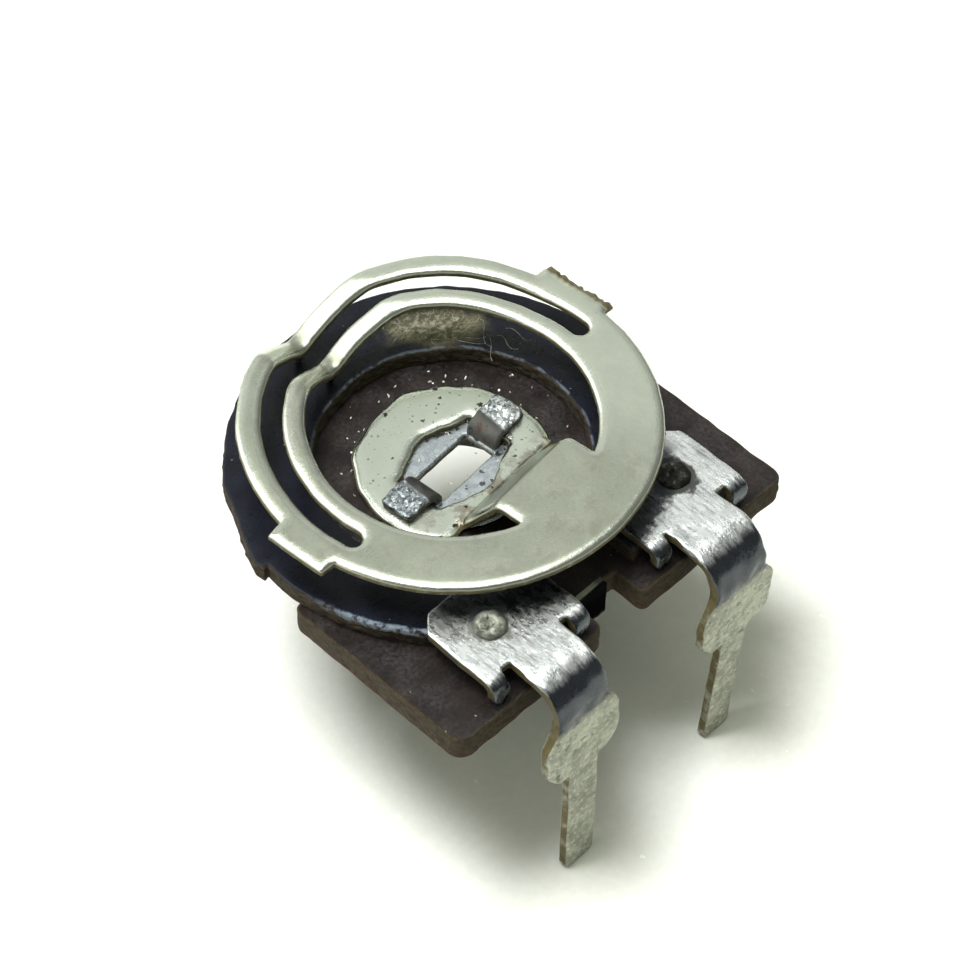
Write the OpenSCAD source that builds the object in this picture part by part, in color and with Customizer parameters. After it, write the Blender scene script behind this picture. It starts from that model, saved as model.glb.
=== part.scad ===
// Open-frame trimmer potentiometer for a printed circuit board.
// The origin is where the turning axis crosses the top face of the base plate.
// +Z is up, along the turning axis, and the two end terminals stand on the -Y side.
// All sizes are in millimetres.

/* [Base plate] */
// Width of the base plate, left to right
base_w = 10.6; // [9.4:0.1:13]
// Thickness of the base plate
base_t = 0.75; // [0.6:0.05:1]
// Width of the base plate's margin in front of the claws
front_margin = 0.22; // [0.15:0.01:0.6]
// Distance from the turning axis to the back edge of the square part
base_square_back = 0.35; // [0.1:0.05:1]
// Radius of the round part that lies under the element
base_round_r = 4.7; // [4.2:0.1:5]
// Radius of the two front corners
base_corner_r = 0.5; // [0.2:0.05:0.9]
// Radius of the two back corners of the square part
base_back_corner_r = 0.25; // [0.1:0.05:0.5]

/* [Notch in the front edge] */
// Width of the notch
notch_w = 1.3; // [1.1:0.05:1.5]
// Depth of the notch
notch_depth = 0.93; // [0.6:0.01:1]
// Distance of the notch's middle from the turning axis, along X
notch_x = -0.17; // [-0.25:0.01:0.1]
// Radius of the notch's two front corners
notch_corner_r = 0.25; // [0.05:0.05:0.4]

/* [Resistance element] */
// Outer radius of the element
element_r = 5.2; // [5.05:0.05:5.6]
// Inner radius of the element
element_inner_r = 3.27; // [2.9:0.01:3.35]
// Thickness of the element
element_t = 0.5; // [0.35:0.05:0.7]
// Distance of the element's centre behind the turning axis
element_shift = 0.15; // [0:0.05:0.2]
// Width of the gap between the element's two ends
element_gap = 1.9; // [1.4:0.1:2.1]
// Length of the break-off nib on each side
element_nib_l = 0.5; // [0.3:0.1:1.5]
// How far each break-off nib stands out
element_nib_out = 0.1; // [0.05:0.01:0.2]

/* [Wiper spring] */
// Thickness of the spring sheet
sheet_t = 0.22; // [0.15:0.01:0.28]
// Outer radius of the ring
ring_r = 4.85; // [4.7:0.05:5]
// Inner radius of the ring
ring_inner_r = 3.34; // [3.2:0.02:3.5]
// Height of the ring's top face above the base plate
ring_top = 1.81; // [1.5:0.05:2.4]
// Inner radius of the slot that parts the two contact arms
slot_inner_r = 3.83; // [3.7:0.01:3.9]
// Outer radius of the slot that parts the two contact arms
slot_outer_r = 4.3; // [4.2:0.01:4.4]
// Half of the angle that the slot spans
slot_half_angle = 97; // [80:1:105]
// Distance from the turning axis to the left fold of the contact arms
contact_left = 1.78; // [1.4:0.05:2.2]
// Distance from the turning axis to the right fold of the contact arms
contact_right = 1.95; // [1.4:0.05:2.2]
// Place of the contact point along X
contact_x = 0.18; // [-0.2:0.02:0.3]
// Length of the contact point's flat, along the track
contact_flat = 0.3; // [0.2:0.05:0.5]
// Radius of the hub
hub_r = 2.35; // [2.1:0.05:2.6]
// Half width of the bridge between the hub and the ring
bridge_half_w = 1.32; // [1:0.02:1.5]
// Distance from the turning axis to the bridge's lower fold
bridge_low = 1.36; // [1.3:0.02:1.5]
// Distance from the turning axis to the bridge's upper fold
bridge_high = 2.38; // [2.2:0.02:2.6]
// Half width of the hub's hole
lens_half_w = 1.28; // [1.25:0.01:1.4]
// Half height of the hub's hole at its middle
lens_half_h = 1.06; // [0.9:0.02:1.15]
// Half height of the hub's hole at its ends
lens_end_half_h = 0.62; // [0.55:0.01:0.7]
// Half length of the flat at the middle of each long side of the hub's hole
lens_flat_half = 0.12; // [0.05:0.01:0.2]
// Length of the shear nib on each side of the ring
ring_nib_l = 1.6; // [1:0.1:2]
// Distance from the turning axis to the outer edge of each shear nib
ring_nib_reach = 5.2; // [5.1:0.02:5.3]
// Distance of the shear nibs' middle behind the turning axis
ring_nib_y = 0.2; // [-0.5:0.05:0.8]
// Turn of the rotor from the middle of its travel
rotor_turn = 5.5; // [-20:0.5:20]

/* [Drive bush] */
// Thickness of the bush sheet
bush_t = 0.22; // [0.15:0.01:0.25]
// Outer radius of the bush where it turns in the base plate
bush_r = 1.83; // [1.8:0.01:1.95]
// Radius of the bush's flange under the base plate
flange_r = 2.4; // [2.2:0.05:2.6]
// Length of the screwdriver slot
driver_slot_l = 1.7; // [1.6:0.02:1.76]
// Width of the screwdriver slot, and of the two tabs lanced from it
driver_slot_w = 0.9; // [0.7:0.02:1.1]
// Inner radius of each tab's bend
tab_bend_in = 0.18; // [0.08:0.02:0.2]
// Distance from the turning axis to each tab's end
tab_reach = 1.95; // [1.7:0.05:2.1]

/* [Terminals] */
// Thickness of the terminal sheet
term_t = 0.26; // [0.2:0.01:0.3]
// Distance between the two end pins
pin_pitch = 5; // [4.8:0.05:5.2]
// Distance from the base plate's front edge to the front face of the end terminals
leg_reach = 1.22; // [1.1:0.02:1.5]
// Width of the strip that leads from each pad to its leg
strip_w = 1.68; // [1.4:0.02:1.8]
// Inner radius of the bend from the pad to the leg
leg_bend_in = 0.74; // [0.5:0.02:0.84]
// Width of each leg's shoulder
shoulder_w = 2.3; // [2:0.05:2.4]
// Depth of the face that the shoulders seat on, below the base plate's top face
seat_depth = 2.4; // [2.2:0.05:3]
// Width of each pin
pin_w = 0.86; // [0.6:0.02:1]
// Depth of the pin tips below the base plate's top face
tip_depth = 6.25; // [5:0.05:8]
// Sideways lean of the right end pin, in degrees
right_pin_lean = 4; // [0:0.5:6]
// Distance from the turning axis to the near side of each pad
pad_inner = 1.08; // [0.98:0.02:1.2]
// Distance from the turning axis to the far side of each pad
pad_outer = 4.12; // [4:0.02:4.3]
// Distance from the turning axis to each pad's back edge
pad_back = 2.95; // [2.8:0.05:3.2]
// Distance from the element's frontmost point forward to where the claws bend
claw_lead = 0; // [-0.05:0.01:0.2]
// Chamfer of each pad's back corner
pad_chamfer = 0.42; // [0.2:0.02:0.6]
// Width of each claw
claw_w = 0.5; // [0.3:0.02:0.54]
// Inner radius of each claw's bend
claw_bend_in = 0.1; // [0.04:0.02:0.14]
// Length of each claw's tapered tip
claw_tip = 0.26; // [0.1:0.02:0.3]

/* [Centre terminal] */
// Radius of the ring that lies around the bush
collar_r = 2.9; // [2.8:0.05:3.2]
// Width of the strap that runs to the notch
strap_w = 0.84; // [0.6:0.02:1]
// Inner radius of the bends in the centre terminal
strap_bend_in = 0.04; // [0.02:0.02:0.1]
// Height of the upright tab in the notch above the base plate
stop_top = 0.32; // [0.1:0.02:0.4]
// Gap between the bush's flange and the rear leg
rear_gap = 0.75; // [0.5:0.05:1.2]

/* [Rivets] */
// Radius of each rivet's shank
rivet_r = 0.28; // [0.2:0.02:0.32]
// Radius of each rivet's head
rivet_head_r = 0.4; // [0.35:0.01:0.42]
// Height of each rivet's head
rivet_head_h = 0.14; // [0.08:0.02:0.16]
// Radius of the pit in each rivet
rivet_pit_r = 0.11; // [0.06:0.01:0.14]
// Distance from the turning axis to each rivet, along X
rivet_x = 2.98; // [2.9:0.02:3.1]
// Distance from the turning axis to each rivet, along Y
rivet_y = 4.18; // [4.1:0.02:4.3]

/* [Clearances] */
// Gap between a turning piece and the fixed piece it passes
run_gap = 0.02; // [0.01:0.01:0.03]
// Gap all round a bush in its hole
bore_gap = 0.05; // [0.03:0.01:0.08]
// Gap all round a fixed piece in its hole or notch
fixed_gap = 0.02; // [0.01:0.01:0.04]

/* [Hidden] */
$fn = 96;
eps = 0.01;
pivot_hole_r = bush_r + bore_gap;
rivet_hole_r = rivet_r + fixed_gap;
term_top = element_t + term_t;
collar_bottom = -base_t - term_t;
hub_bottom = run_gap;
hub_top = hub_bottom + sheet_t;
ring_bottom = ring_top - sheet_t;
contact_bottom = element_t + run_gap;
bush_top = 0;
flange_top = collar_bottom - run_gap;
flange_bottom = flange_top - bush_t;
tab_top = hub_top + bush_t;
tab_bend_r = tab_bend_in + bush_t;
leg_bend_r = leg_bend_in + term_t;
claw_bend_r = claw_bend_in + term_t;
strap_bend_r = strap_bend_in + term_t;
pad_front = element_r - element_shift + claw_lead;
base_front = pad_front + claw_bend_r + front_margin;
term_front = base_front + leg_reach;
notch_back = base_front - notch_depth;
leg_turn_z = term_top - leg_bend_r;
pin_chamfer = 0.1;
shoulder_rise = 0.4;
shoulder_low = 0.45;
seat_reach = 0.82;
stop_x = notch_x - notch_w / 2 + fixed_gap + strap_w / 2;
stop_back = notch_back + fixed_gap;
rear_face = flange_r + rear_gap + term_t;

// A flat sheet's quarter bend, from +X round to +Y, with its centre at the origin
module quarter_bend(outer_r, sheet) {
    difference() {
        circle(outer_r);
        circle(outer_r - sheet);
        translate([-2 * outer_r, -2 * outer_r]) square([2 * outer_r, 4 * outer_r]);
        translate([-2 * outer_r, -2 * outer_r]) square([4 * outer_r, 2 * outer_r]);
    }
}

// A profile drawn with X as the part's -Y and Y as its Z, given a width along X
module front_profile(width) {
    rotate([90, 0, -90]) translate([0, 0, -width / 2]) linear_extrude(width) children();
}

// A rectangle with round front corners, front edge at y = -front
module square_part(width, front, back, front_r, back_r) {
    difference() {
        translate([-width / 2, -front]) square([width, front - back]);
        for (side = [-1, 1]) {
            corner_cut(side * (width / 2 - front_r), -front + front_r, side, -1, front_r);
            corner_cut(side * (width / 2 - back_r), -back - back_r, side, 1, back_r);
        }
    }
}

// What a round corner takes off a square one
module corner_cut(x, y, x_side, y_side, r) {
    difference() {
        translate([x + x_side * r / 2, y + y_side * r / 2]) square(r + 2 * eps, center = true);
        translate([x, y]) circle(r);
        translate([x - x_side * r, y]) square(2 * r - 2 * eps, center = true);
        translate([x, y - y_side * r]) square(2 * r - 2 * eps, center = true);
    }
}

// The notch, with its two front corners rounded outwards
module notch_shape() {
    translate([notch_x - notch_w / 2, -base_front - 1]) square([notch_w, notch_depth + 1]);
    for (side = [-1, 1]) {
        translate([notch_x, 0])
            corner_cut(side * (notch_w / 2 + notch_corner_r), -base_front + notch_corner_r,
                       -side, -1, notch_corner_r);
    }
}

module rivet_holes() {
    for (side = [-1, 1]) {
        translate([side * rivet_x, -rivet_y, -5]) cylinder(h = 10, r = rivet_hole_r);
    }
}

module base_plate() {
    color("#3a2c30")
    difference() {
        translate([0, 0, -base_t]) linear_extrude(base_t)
            difference() {
                union() {
                    square_part(base_w, base_front, base_square_back, base_corner_r, base_back_corner_r);
                    translate([0, element_shift]) circle(base_round_r);
                }
                notch_shape();
            }
        translate([0, 0, -5]) cylinder(h = 10, r = pivot_hole_r);
        rivet_holes();
    }
}

module resistance_element() {
    color("#1c2230")
    difference() {
        translate([0, element_shift, 0]) linear_extrude(element_t)
            difference() {
                union() {
                    circle(element_r);
                    translate([-element_r - element_nib_out, 0.45])
                        square([2 * element_r + 2 * element_nib_out, element_nib_l]);
                }
                circle(element_inner_r);
                translate([-element_gap / 2, -2 * element_r]) square([element_gap, 2 * element_r]);
            }
        rivet_holes();
    }
}

// Outline of a leg below a height, seen from the front, with its middle at x = 0
module leg_outline(top, neck_half) {
    half = shoulder_w / 2;
    shoulder_top = -seat_depth + shoulder_low + 0.95;
    neck = max(neck_half, 0);
    polygon([
        [-neck, top], [neck, top],
        [neck, min(top, shoulder_top + shoulder_rise)], [half, min(top, shoulder_top)],
        [half, -seat_depth + shoulder_low], [seat_reach, -seat_depth],
        [-seat_reach, -seat_depth], [-half, -seat_depth + shoulder_low],
        [-half, min(top, shoulder_top)], [-neck, min(top, shoulder_top + shoulder_rise)]
    ]);
}

// Pin below the seat, with its middle at x = 0
module pin_outline() {
    half = pin_w / 2;
    polygon([
        [-half, -seat_depth + 0.3], [half, -seat_depth + 0.3], [half, -tip_depth + pin_chamfer],
        [half - pin_chamfer, -tip_depth], [-half + pin_chamfer, -tip_depth],
        [-half, -tip_depth + pin_chamfer]
    ]);
}

// Shoulder and pin of one leg: front face at y = 0, sheet behind it
module leg_plate(top, neck_half, lean) {
    translate([0, term_t, 0]) rotate([90, 0, 0]) linear_extrude(term_t) {
        leg_outline(top, neck_half);
        translate([0, -seat_depth]) rotate(lean) translate([0, seat_depth]) pin_outline();
    }
}

// One claw: bends down over the element's front edge and bites the base plate
module claw() {
    difference() {
        front_profile(claw_w) {
            translate([pad_front - 0.1, element_t]) square([0.1 + eps, term_t]);
            translate([pad_front, term_top - claw_bend_r]) quarter_bend(claw_bend_r, term_t);
            translate([pad_front + claw_bend_r - term_t, 0]) square([term_t, term_top - claw_bend_r]);
        }
        for (side = [-1, 1]) {
            translate([side * claw_w / 2, -pad_front, 0]) rotate([90, 0, 0])
                linear_extrude(claw_bend_r + 1)
                    polygon([[0, claw_tip], [side, claw_tip], [side, -1], [-side * 0.17, -1],
                             [-side * 0.17, 0]]);
        }
    }
}

// End terminal on the +X side
module end_terminal(lean) {
    mid = pin_pitch / 2;
    difference() {
        union() {
            translate([0, 0, element_t]) linear_extrude(term_t)
                polygon([
                    [pad_inner, -pad_front], [pad_inner, -pad_back - 0.15], [pad_inner + 0.15, -pad_back],
                    [pad_outer - pad_chamfer, -pad_back], [pad_outer, -pad_back - pad_chamfer],
                    [pad_outer, -pad_front]
                ]);
            translate([mid, 0, 0]) front_profile(strip_w) {
                translate([pad_front - 0.1, element_t])
                    square([term_front - leg_bend_r - pad_front + 0.1 + eps, term_t]);
                translate([term_front - leg_bend_r, leg_turn_z]) quarter_bend(leg_bend_r, term_t);
            }
            translate([mid, -term_front, 0]) leg_plate(leg_turn_z + eps, strip_w / 2, lean);
            translate([pad_inner + claw_w / 2, 0, 0]) claw();
            translate([pad_outer - claw_w / 2, 0, 0]) claw();
        }
        rivet_holes();
    }
}

module end_terminal_left() {
    color("#b9bdb6") mirror([1, 0, 0]) end_terminal(0);
}

module end_terminal_right() {
    color("#b9bdb6") end_terminal(-right_pin_lean);
}

// Tubular rivet through one pad, the element and the base plate
module end_rivet(side) {
    low = -base_t - rivet_head_h;
    high = term_top + rivet_head_h;
    soft = rivet_head_h * 0.6;
    color("#9a9a8c")
    translate([side * rivet_x, -rivet_y, 0]) rotate_extrude()
        polygon([
            [rivet_pit_r, low], [rivet_head_r - soft, low], [rivet_head_r, low + soft],
            [rivet_head_r, -base_t], [rivet_r, -base_t], [rivet_r, term_top],
            [rivet_head_r, term_top], [rivet_head_r, high - soft], [rivet_head_r - soft, high],
            [rivet_pit_r, high]
        ]);
}

module end_rivet_left() {
    end_rivet(-1);
}

module end_rivet_right() {
    end_rivet(1);
}

module centre_terminal() {
    color("#a8aca4")
    union() {
        translate([0, 0, collar_bottom]) linear_extrude(term_t)
            difference() {
                union() {
                    circle(collar_r);
                    translate([stop_x - strap_w / 2, -stop_back - term_t + strap_bend_r])
                        square([strap_w, stop_back + term_t - strap_bend_r]);
                    translate([-shoulder_w / 2, 0]) square([shoulder_w, rear_face - strap_bend_r]);
                }
                circle(pivot_hole_r);
            }
        translate([stop_x, 0, 0]) front_profile(strap_w) {
            translate([stop_back + term_t - strap_bend_r, collar_bottom + strap_bend_r])
                mirror([0, 1]) quarter_bend(strap_bend_r, term_t);
            translate([stop_back, collar_bottom + strap_bend_r])
                square([term_t, stop_top - collar_bottom - strap_bend_r]);
        }
        mirror([0, 1, 0]) front_profile(shoulder_w)
            translate([rear_face - strap_bend_r, -base_t - strap_bend_r])
                quarter_bend(strap_bend_r, term_t);
        translate([0, rear_face - term_t, 0])
            leg_plate(-base_t - strap_bend_r + eps, shoulder_w / 2, 0);
    }
}

// The two contact arms' shape along X, as a band one sheet thick
module contact_profile() {
    flat_l = contact_x - contact_flat / 2;
    flat_r = contact_x + contact_flat / 2;
    polygon([
        [-contact_left, ring_top], [-contact_left, ring_bottom],
        [flat_l, contact_bottom], [flat_r, contact_bottom],
        [contact_right, ring_bottom], [contact_right, ring_top],
        [flat_r + 0.1, contact_bottom + sheet_t], [flat_l - 0.1, contact_bottom + sheet_t]
    ]);
}

module ring_band(bottom, height) {
    translate([0, 0, bottom]) linear_extrude(height)
        difference() {
            circle(ring_r);
            circle(ring_inner_r);
        }
}

module arm_slot() {
    width = slot_outer_r - slot_inner_r;
    rotate([0, 0, 90 - slot_half_angle]) rotate_extrude(angle = 2 * slot_half_angle)
        translate([slot_inner_r, 0]) square([width, ring_top + 1]);
    for (side = [-1, 1]) {
        rotate([0, 0, 90 + side * slot_half_angle]) translate([(slot_inner_r + slot_outer_r) / 2, 0, 0])
            cylinder(h = ring_top + 1, r = width / 2);
    }
}

module ring_part() {
    reach = ring_r + 1;
    difference() {
        union() {
            difference() {
                union() {
                    ring_band(ring_bottom, sheet_t);
                    translate([0, ring_nib_y, ring_bottom + sheet_t / 2]) difference() {
                        cube([2 * ring_nib_reach, ring_nib_l, sheet_t], center = true);
                        cube([2 * slot_outer_r + 0.4, 2 * ring_nib_l, 2 * sheet_t], center = true);
                    }
                }
                translate([-contact_left, 0, 0]) cube([contact_left + contact_right, reach, ring_top + 1]);
            }
            intersection() {
                ring_band(0, ring_top + 1);
                translate([0, reach, 0]) rotate([90, 0, 0]) linear_extrude(reach) contact_profile();
            }
        }
        arm_slot();
    }
}

module hub_part() {
    translate([0, 0, hub_bottom]) linear_extrude(sheet_t)
        difference() {
            circle(hub_r);
            translate([-hub_r - 1, -bridge_low - hub_r]) square([2 * hub_r + 2, hub_r]);
            polygon([
                [-lens_half_w, -lens_end_half_h], [-lens_flat_half, -lens_half_h],
                [lens_flat_half, -lens_half_h], [lens_half_w, -lens_end_half_h],
                [lens_half_w, lens_end_half_h], [lens_flat_half, lens_half_h],
                [-lens_flat_half, lens_half_h], [-lens_half_w, lens_end_half_h]
            ]);
        }
}

module bridge_part() {
    slack = 0.1;
    reach = sqrt(ring_inner_r * ring_inner_r - bridge_half_w * bridge_half_w) + slack;
    front_profile(2 * bridge_half_w)
        polygon([
            [bridge_low - slack, hub_bottom], [bridge_low + slack, hub_bottom],
            [bridge_high + slack, ring_bottom], [reach, ring_bottom], [reach, ring_top],
            [bridge_high - slack / 2, ring_top], [bridge_low - slack / 2, hub_top],
            [bridge_low - slack, hub_top]
        ]);
    intersection() {
        translate([-bridge_half_w, -ring_r, ring_bottom])
            cube([2 * bridge_half_w, ring_r - bridge_high - slack, sheet_t]);
        translate([0, 0, ring_bottom]) cylinder(h = sheet_t, r = (ring_inner_r + ring_r) / 2);
    }
}

module wiper_spring() {
    color("#c2c4b4") rotate([0, 0, rotor_turn]) union() {
        ring_part();
        hub_part();
        bridge_part();
    }
}

// One tab, lanced from the screwdriver slot and folded out over the hub
module drive_tab() {
    root = driver_slot_l / 2;
    rotate([90, 0, 0]) translate([0, 0, -driver_slot_w / 2]) linear_extrude(driver_slot_w) {
        translate([root, bush_top - bush_t]) square([bush_t, tab_top - tab_bend_r - bush_top + bush_t]);
        translate([root + tab_bend_r, tab_top - tab_bend_r]) mirror([1, 0])
            quarter_bend(tab_bend_r, bush_t);
        translate([root + tab_bend_r - eps, hub_top]) square([tab_reach - root - tab_bend_r + eps, bush_t]);
    }
}

module drive_bush() {
    color("#b4b6ae") rotate([0, 0, rotor_turn]) union() {
        difference() {
            rotate_extrude()
                polygon([
                    [0, bush_top], [bush_r - 0.1, bush_top], [bush_r, bush_top - 0.1],
                    [bush_r, flange_top], [flange_r, flange_top], [flange_r, flange_bottom],
                    [bush_r - bush_t, flange_bottom], [bush_r - bush_t, bush_top - bush_t],
                    [0, bush_top - bush_t]
                ]);
            cube([driver_slot_l, driver_slot_w, 8], center = true);
        }
        drive_tab();
        mirror([1, 0, 0]) drive_tab();
    }
}

base_plate();
resistance_element();
end_terminal_left();
end_terminal_right();
end_rivet_left();
end_rivet_right();
centre_terminal();
wiper_spring();
drive_bush();
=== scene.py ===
"""Visual model of an open-frame trimmer potentiometer for a printed circuit board.

Lengths in the classes are millimetres. Meshes are written in metres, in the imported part's frame:
the origin is where the turning axis crosses the base plate's top face, +Z is up, -Y is the front.
"""
import logging
import math
from collections.abc import Callable, Sequence
from dataclasses import dataclass
from enum import Enum
from typing import Any

import bmesh
import bpy
import numpy as np
from mathutils import Matrix, Vector, noise
from mathutils.geometry import delaunay_2d_cdt


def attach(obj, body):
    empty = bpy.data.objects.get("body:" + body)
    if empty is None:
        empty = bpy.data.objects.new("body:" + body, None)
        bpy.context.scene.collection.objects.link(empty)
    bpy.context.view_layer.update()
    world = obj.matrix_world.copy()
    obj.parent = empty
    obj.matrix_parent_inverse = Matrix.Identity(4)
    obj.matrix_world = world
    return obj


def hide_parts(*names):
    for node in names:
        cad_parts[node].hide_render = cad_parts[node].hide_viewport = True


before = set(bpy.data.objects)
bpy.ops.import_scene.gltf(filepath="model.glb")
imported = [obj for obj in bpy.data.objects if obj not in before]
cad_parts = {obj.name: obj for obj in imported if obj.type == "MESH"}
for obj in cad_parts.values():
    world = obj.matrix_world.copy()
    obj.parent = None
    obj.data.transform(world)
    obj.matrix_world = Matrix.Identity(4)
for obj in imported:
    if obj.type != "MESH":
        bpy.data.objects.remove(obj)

LOG = logging.getLogger("trimmer")
MM = 0.001
FAR = 9.0  # past every edge of the part
Colour = tuple[float, float, float]
Corner = tuple[float, float, float]
Point = tuple[float, float, float]
Pair = tuple[float, float]
Array = np.ndarray
Share = Callable[[Array], Array]
Inputs = dict[str, Any]
Socket = bpy.types.NodeSocket
DENT_SEED = 11
SEED_STRIDE = (7.3, 3.1, 5.7)
SOCKET_KINDS = {float: "NodeSocketFloat", int: "NodeSocketInt", tuple: "NodeSocketVector"}


class Body(Enum):
    """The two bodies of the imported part."""

    FRAME = "frame"
    ROTOR = "rotor"


class Slot(Enum):
    """The record's material slots."""

    LAMINATE = "laminate"
    TRACK = "track"
    TERMINAL = "terminal"
    RIVET = "rivet"
    SPRING = "spring"
    BUSH = "bush"


class Side(Enum):
    """Which of the two end terminals is meant."""

    LEFT = -1
    RIGHT = 1


# ---- outlines and sheets


def turn_points(here: Array, before: Array, after: Array, reach: float, count: int) -> list[Array]:
    """Points of a smooth turn at a corner.

    Args:
        here: the corner.
        before: unit direction back along the line.
        after: unit direction on along the line.
        reach: how far from the corner the turn starts and ends.
        count: how many points.

    Returns:
        The points, in order.
    """
    return [here + before * reach * (1 - t) ** 2 + after * reach * t ** 2 for t in np.linspace(0, 1, count)]


def arc(radius: float, start: float, end: float, centre: Pair = (0, 0)) -> list[Corner]:
    """Points along an arc, ready to be corners of an outline.

    Args:
        radius: radius of the arc.
        start: angle of its first point, in degrees.
        end: angle of its last point, in degrees.
        centre: centre of the arc.

    Returns:
        Corners with no rounding of their own.
    """
    count = max(3, int(abs(end - start) * math.pi / 180 * radius / 0.1))
    angles = np.radians(np.linspace(start, end, count))
    return [(centre[0] + radius * math.cos(a), centre[1] + radius * math.sin(a), 0.0) for a in angles]


class Outline:
    """A closed line in a sheet's plane."""

    def __init__(self, points: Array):
        """Keeps the points, in order round the line."""
        self.points = np.asarray(points, float)

    @classmethod
    def cornered(cls, corners: Sequence[Corner], step: float = 0.05) -> "Outline":
        """A polygon with rounded corners.

        Args:
            corners: x, y and rounding radius of each corner.
            step: distance between the points of the finished line.

        Returns:
            The line, with evenly spaced points.
        """
        line: list[Array] = []
        count = len(corners)
        for i, (x, y, radius) in enumerate(corners):
            here = np.array([x, y])
            before = np.array(corners[i - 1][:2]) - here
            after = np.array(corners[(i + 1) % count][:2]) - here
            len_before, len_after = np.linalg.norm(before), np.linalg.norm(after)
            if radius <= 0 or len_before < 1e-6 or len_after < 1e-6:
                line.append(here)
                continue
            before, after = before / len_before, after / len_after
            angle = math.acos(float(np.clip(before @ after, -1, 1)))
            if angle > math.pi - 0.02:
                line.append(here)
                continue
            reach = min(radius / math.tan(angle / 2), len_before * 0.48, len_after * 0.48)
            line += turn_points(here, before, after, reach, 7)
        return cls(np.array(line)).even(step)

    @classmethod
    def circle(cls, radius: float) -> "Outline":
        """A circle about the origin."""
        return cls.cornered(arc(radius, 0, 358))

    def even(self, step: float) -> "Outline":
        """The same line with points a step apart."""
        closed = np.vstack([self.points, self.points[:1]])
        along = np.concatenate([[0], np.cumsum(np.linalg.norm(np.diff(closed, axis=0), axis=1))])
        count = max(8, int(along[-1] / step))
        at = np.linspace(0, along[-1], count, endpoint=False)
        return Outline(np.column_stack([np.interp(at, along, closed[:, k]) for k in (0, 1)]))

    def facing(self, anticlockwise: bool) -> "Outline":
        """The same line, run anticlockwise or clockwise."""
        x, y = self.points[:, 0], self.points[:, 1]
        area = float(np.sum(x * np.roll(y, -1) - np.roll(x, -1) * y))
        return self if (area > 0) == anticlockwise else Outline(self.points[::-1].copy())

    def outwards(self) -> Array:
        """Unit directions out of the sheet, to the right of the line at each point."""
        along = np.roll(self.points, -1, axis=0) - np.roll(self.points, 1, axis=0)
        along /= np.linalg.norm(along, axis=1, keepdims=True) + 1e-12
        return np.column_stack([along[:, 1], -along[:, 0]])

    def roughened(self, amount: float, wave: float, seed: int, where: Share | None = None) -> "Outline":
        """The same line with an uneven run, as a torn or worn edge has.

        Args:
            amount: how far points move, one standard deviation.
            wave: length of the unevenness.
            seed: seed of the random numbers.
            where: gives each point's share of the amount.

        Returns:
            The uneven line.
        """
        step = float(np.linalg.norm(self.points[1] - self.points[0]))
        shift = smooth_random(len(self.points), wave / step, seed) * amount
        if where is not None:
            shift = shift * where(self.points)
        return Outline(self.points + self.outwards() * shift[:, None])


def smooth_random(count: int, wave: float, seed: int) -> Array:
    """Random numbers round a ring that change smoothly, with a standard deviation of 1.

    Args:
        count: how many numbers.
        wave: over how many numbers a change takes place.
        seed: seed of the random numbers.

    Returns:
        The numbers.
    """
    raw = np.random.default_rng(seed).normal(size=count)
    offset = np.minimum(np.arange(count), count - np.arange(count))
    kernel = np.exp(-0.5 * (offset / max(wave * 0.5, 0.3)) ** 2)
    smooth = np.real(np.fft.ifft(np.fft.fft(raw) * np.fft.fft(kernel)))
    return (smooth - smooth.mean()) / (smooth.std() + 1e-12)


def nearest_and_inside(points: Array, lines: Sequence[Outline]) -> tuple[Array, Array]:
    """How far points lie from some closed lines, and whether they lie between them.

    Args:
        points: the points.
        lines: an outer line and the holes in it.

    Returns:
        Each point's distance to the nearest line, and True where the sheet is.
    """
    start = np.vstack([line.points for line in lines])
    end = np.vstack([np.roll(line.points, -1, axis=0) for line in lines])
    (from_x, from_y), to_y = start.T, end[:, 1]
    run_x, run_y = (end - start).T
    square = run_x * run_x + run_y * run_y + 1e-18
    lean = run_x / np.where(np.abs(run_y) < 1e-15, 1e-15, run_y)
    distance, inside = np.empty(len(points)), np.empty(len(points), bool)
    for first in range(0, len(points), 256):
        x, y = points[first:first + 256, 0:1], points[first:first + 256, 1:2]
        gap_x, gap_y = x - from_x, y - from_y
        across = ((from_y > y) != (to_y > y)) & (gap_x < gap_y * lean)
        inside[first:first + 256] = np.count_nonzero(across, axis=1) % 2 == 1
        t = np.clip((gap_x * run_x + gap_y * run_y) / square, 0, 1)
        gap_x -= t * run_x
        gap_y -= t * run_y
        distance[first:first + 256] = np.sqrt(np.min(gap_x * gap_x + gap_y * gap_y, axis=1))
    return distance, inside


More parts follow.
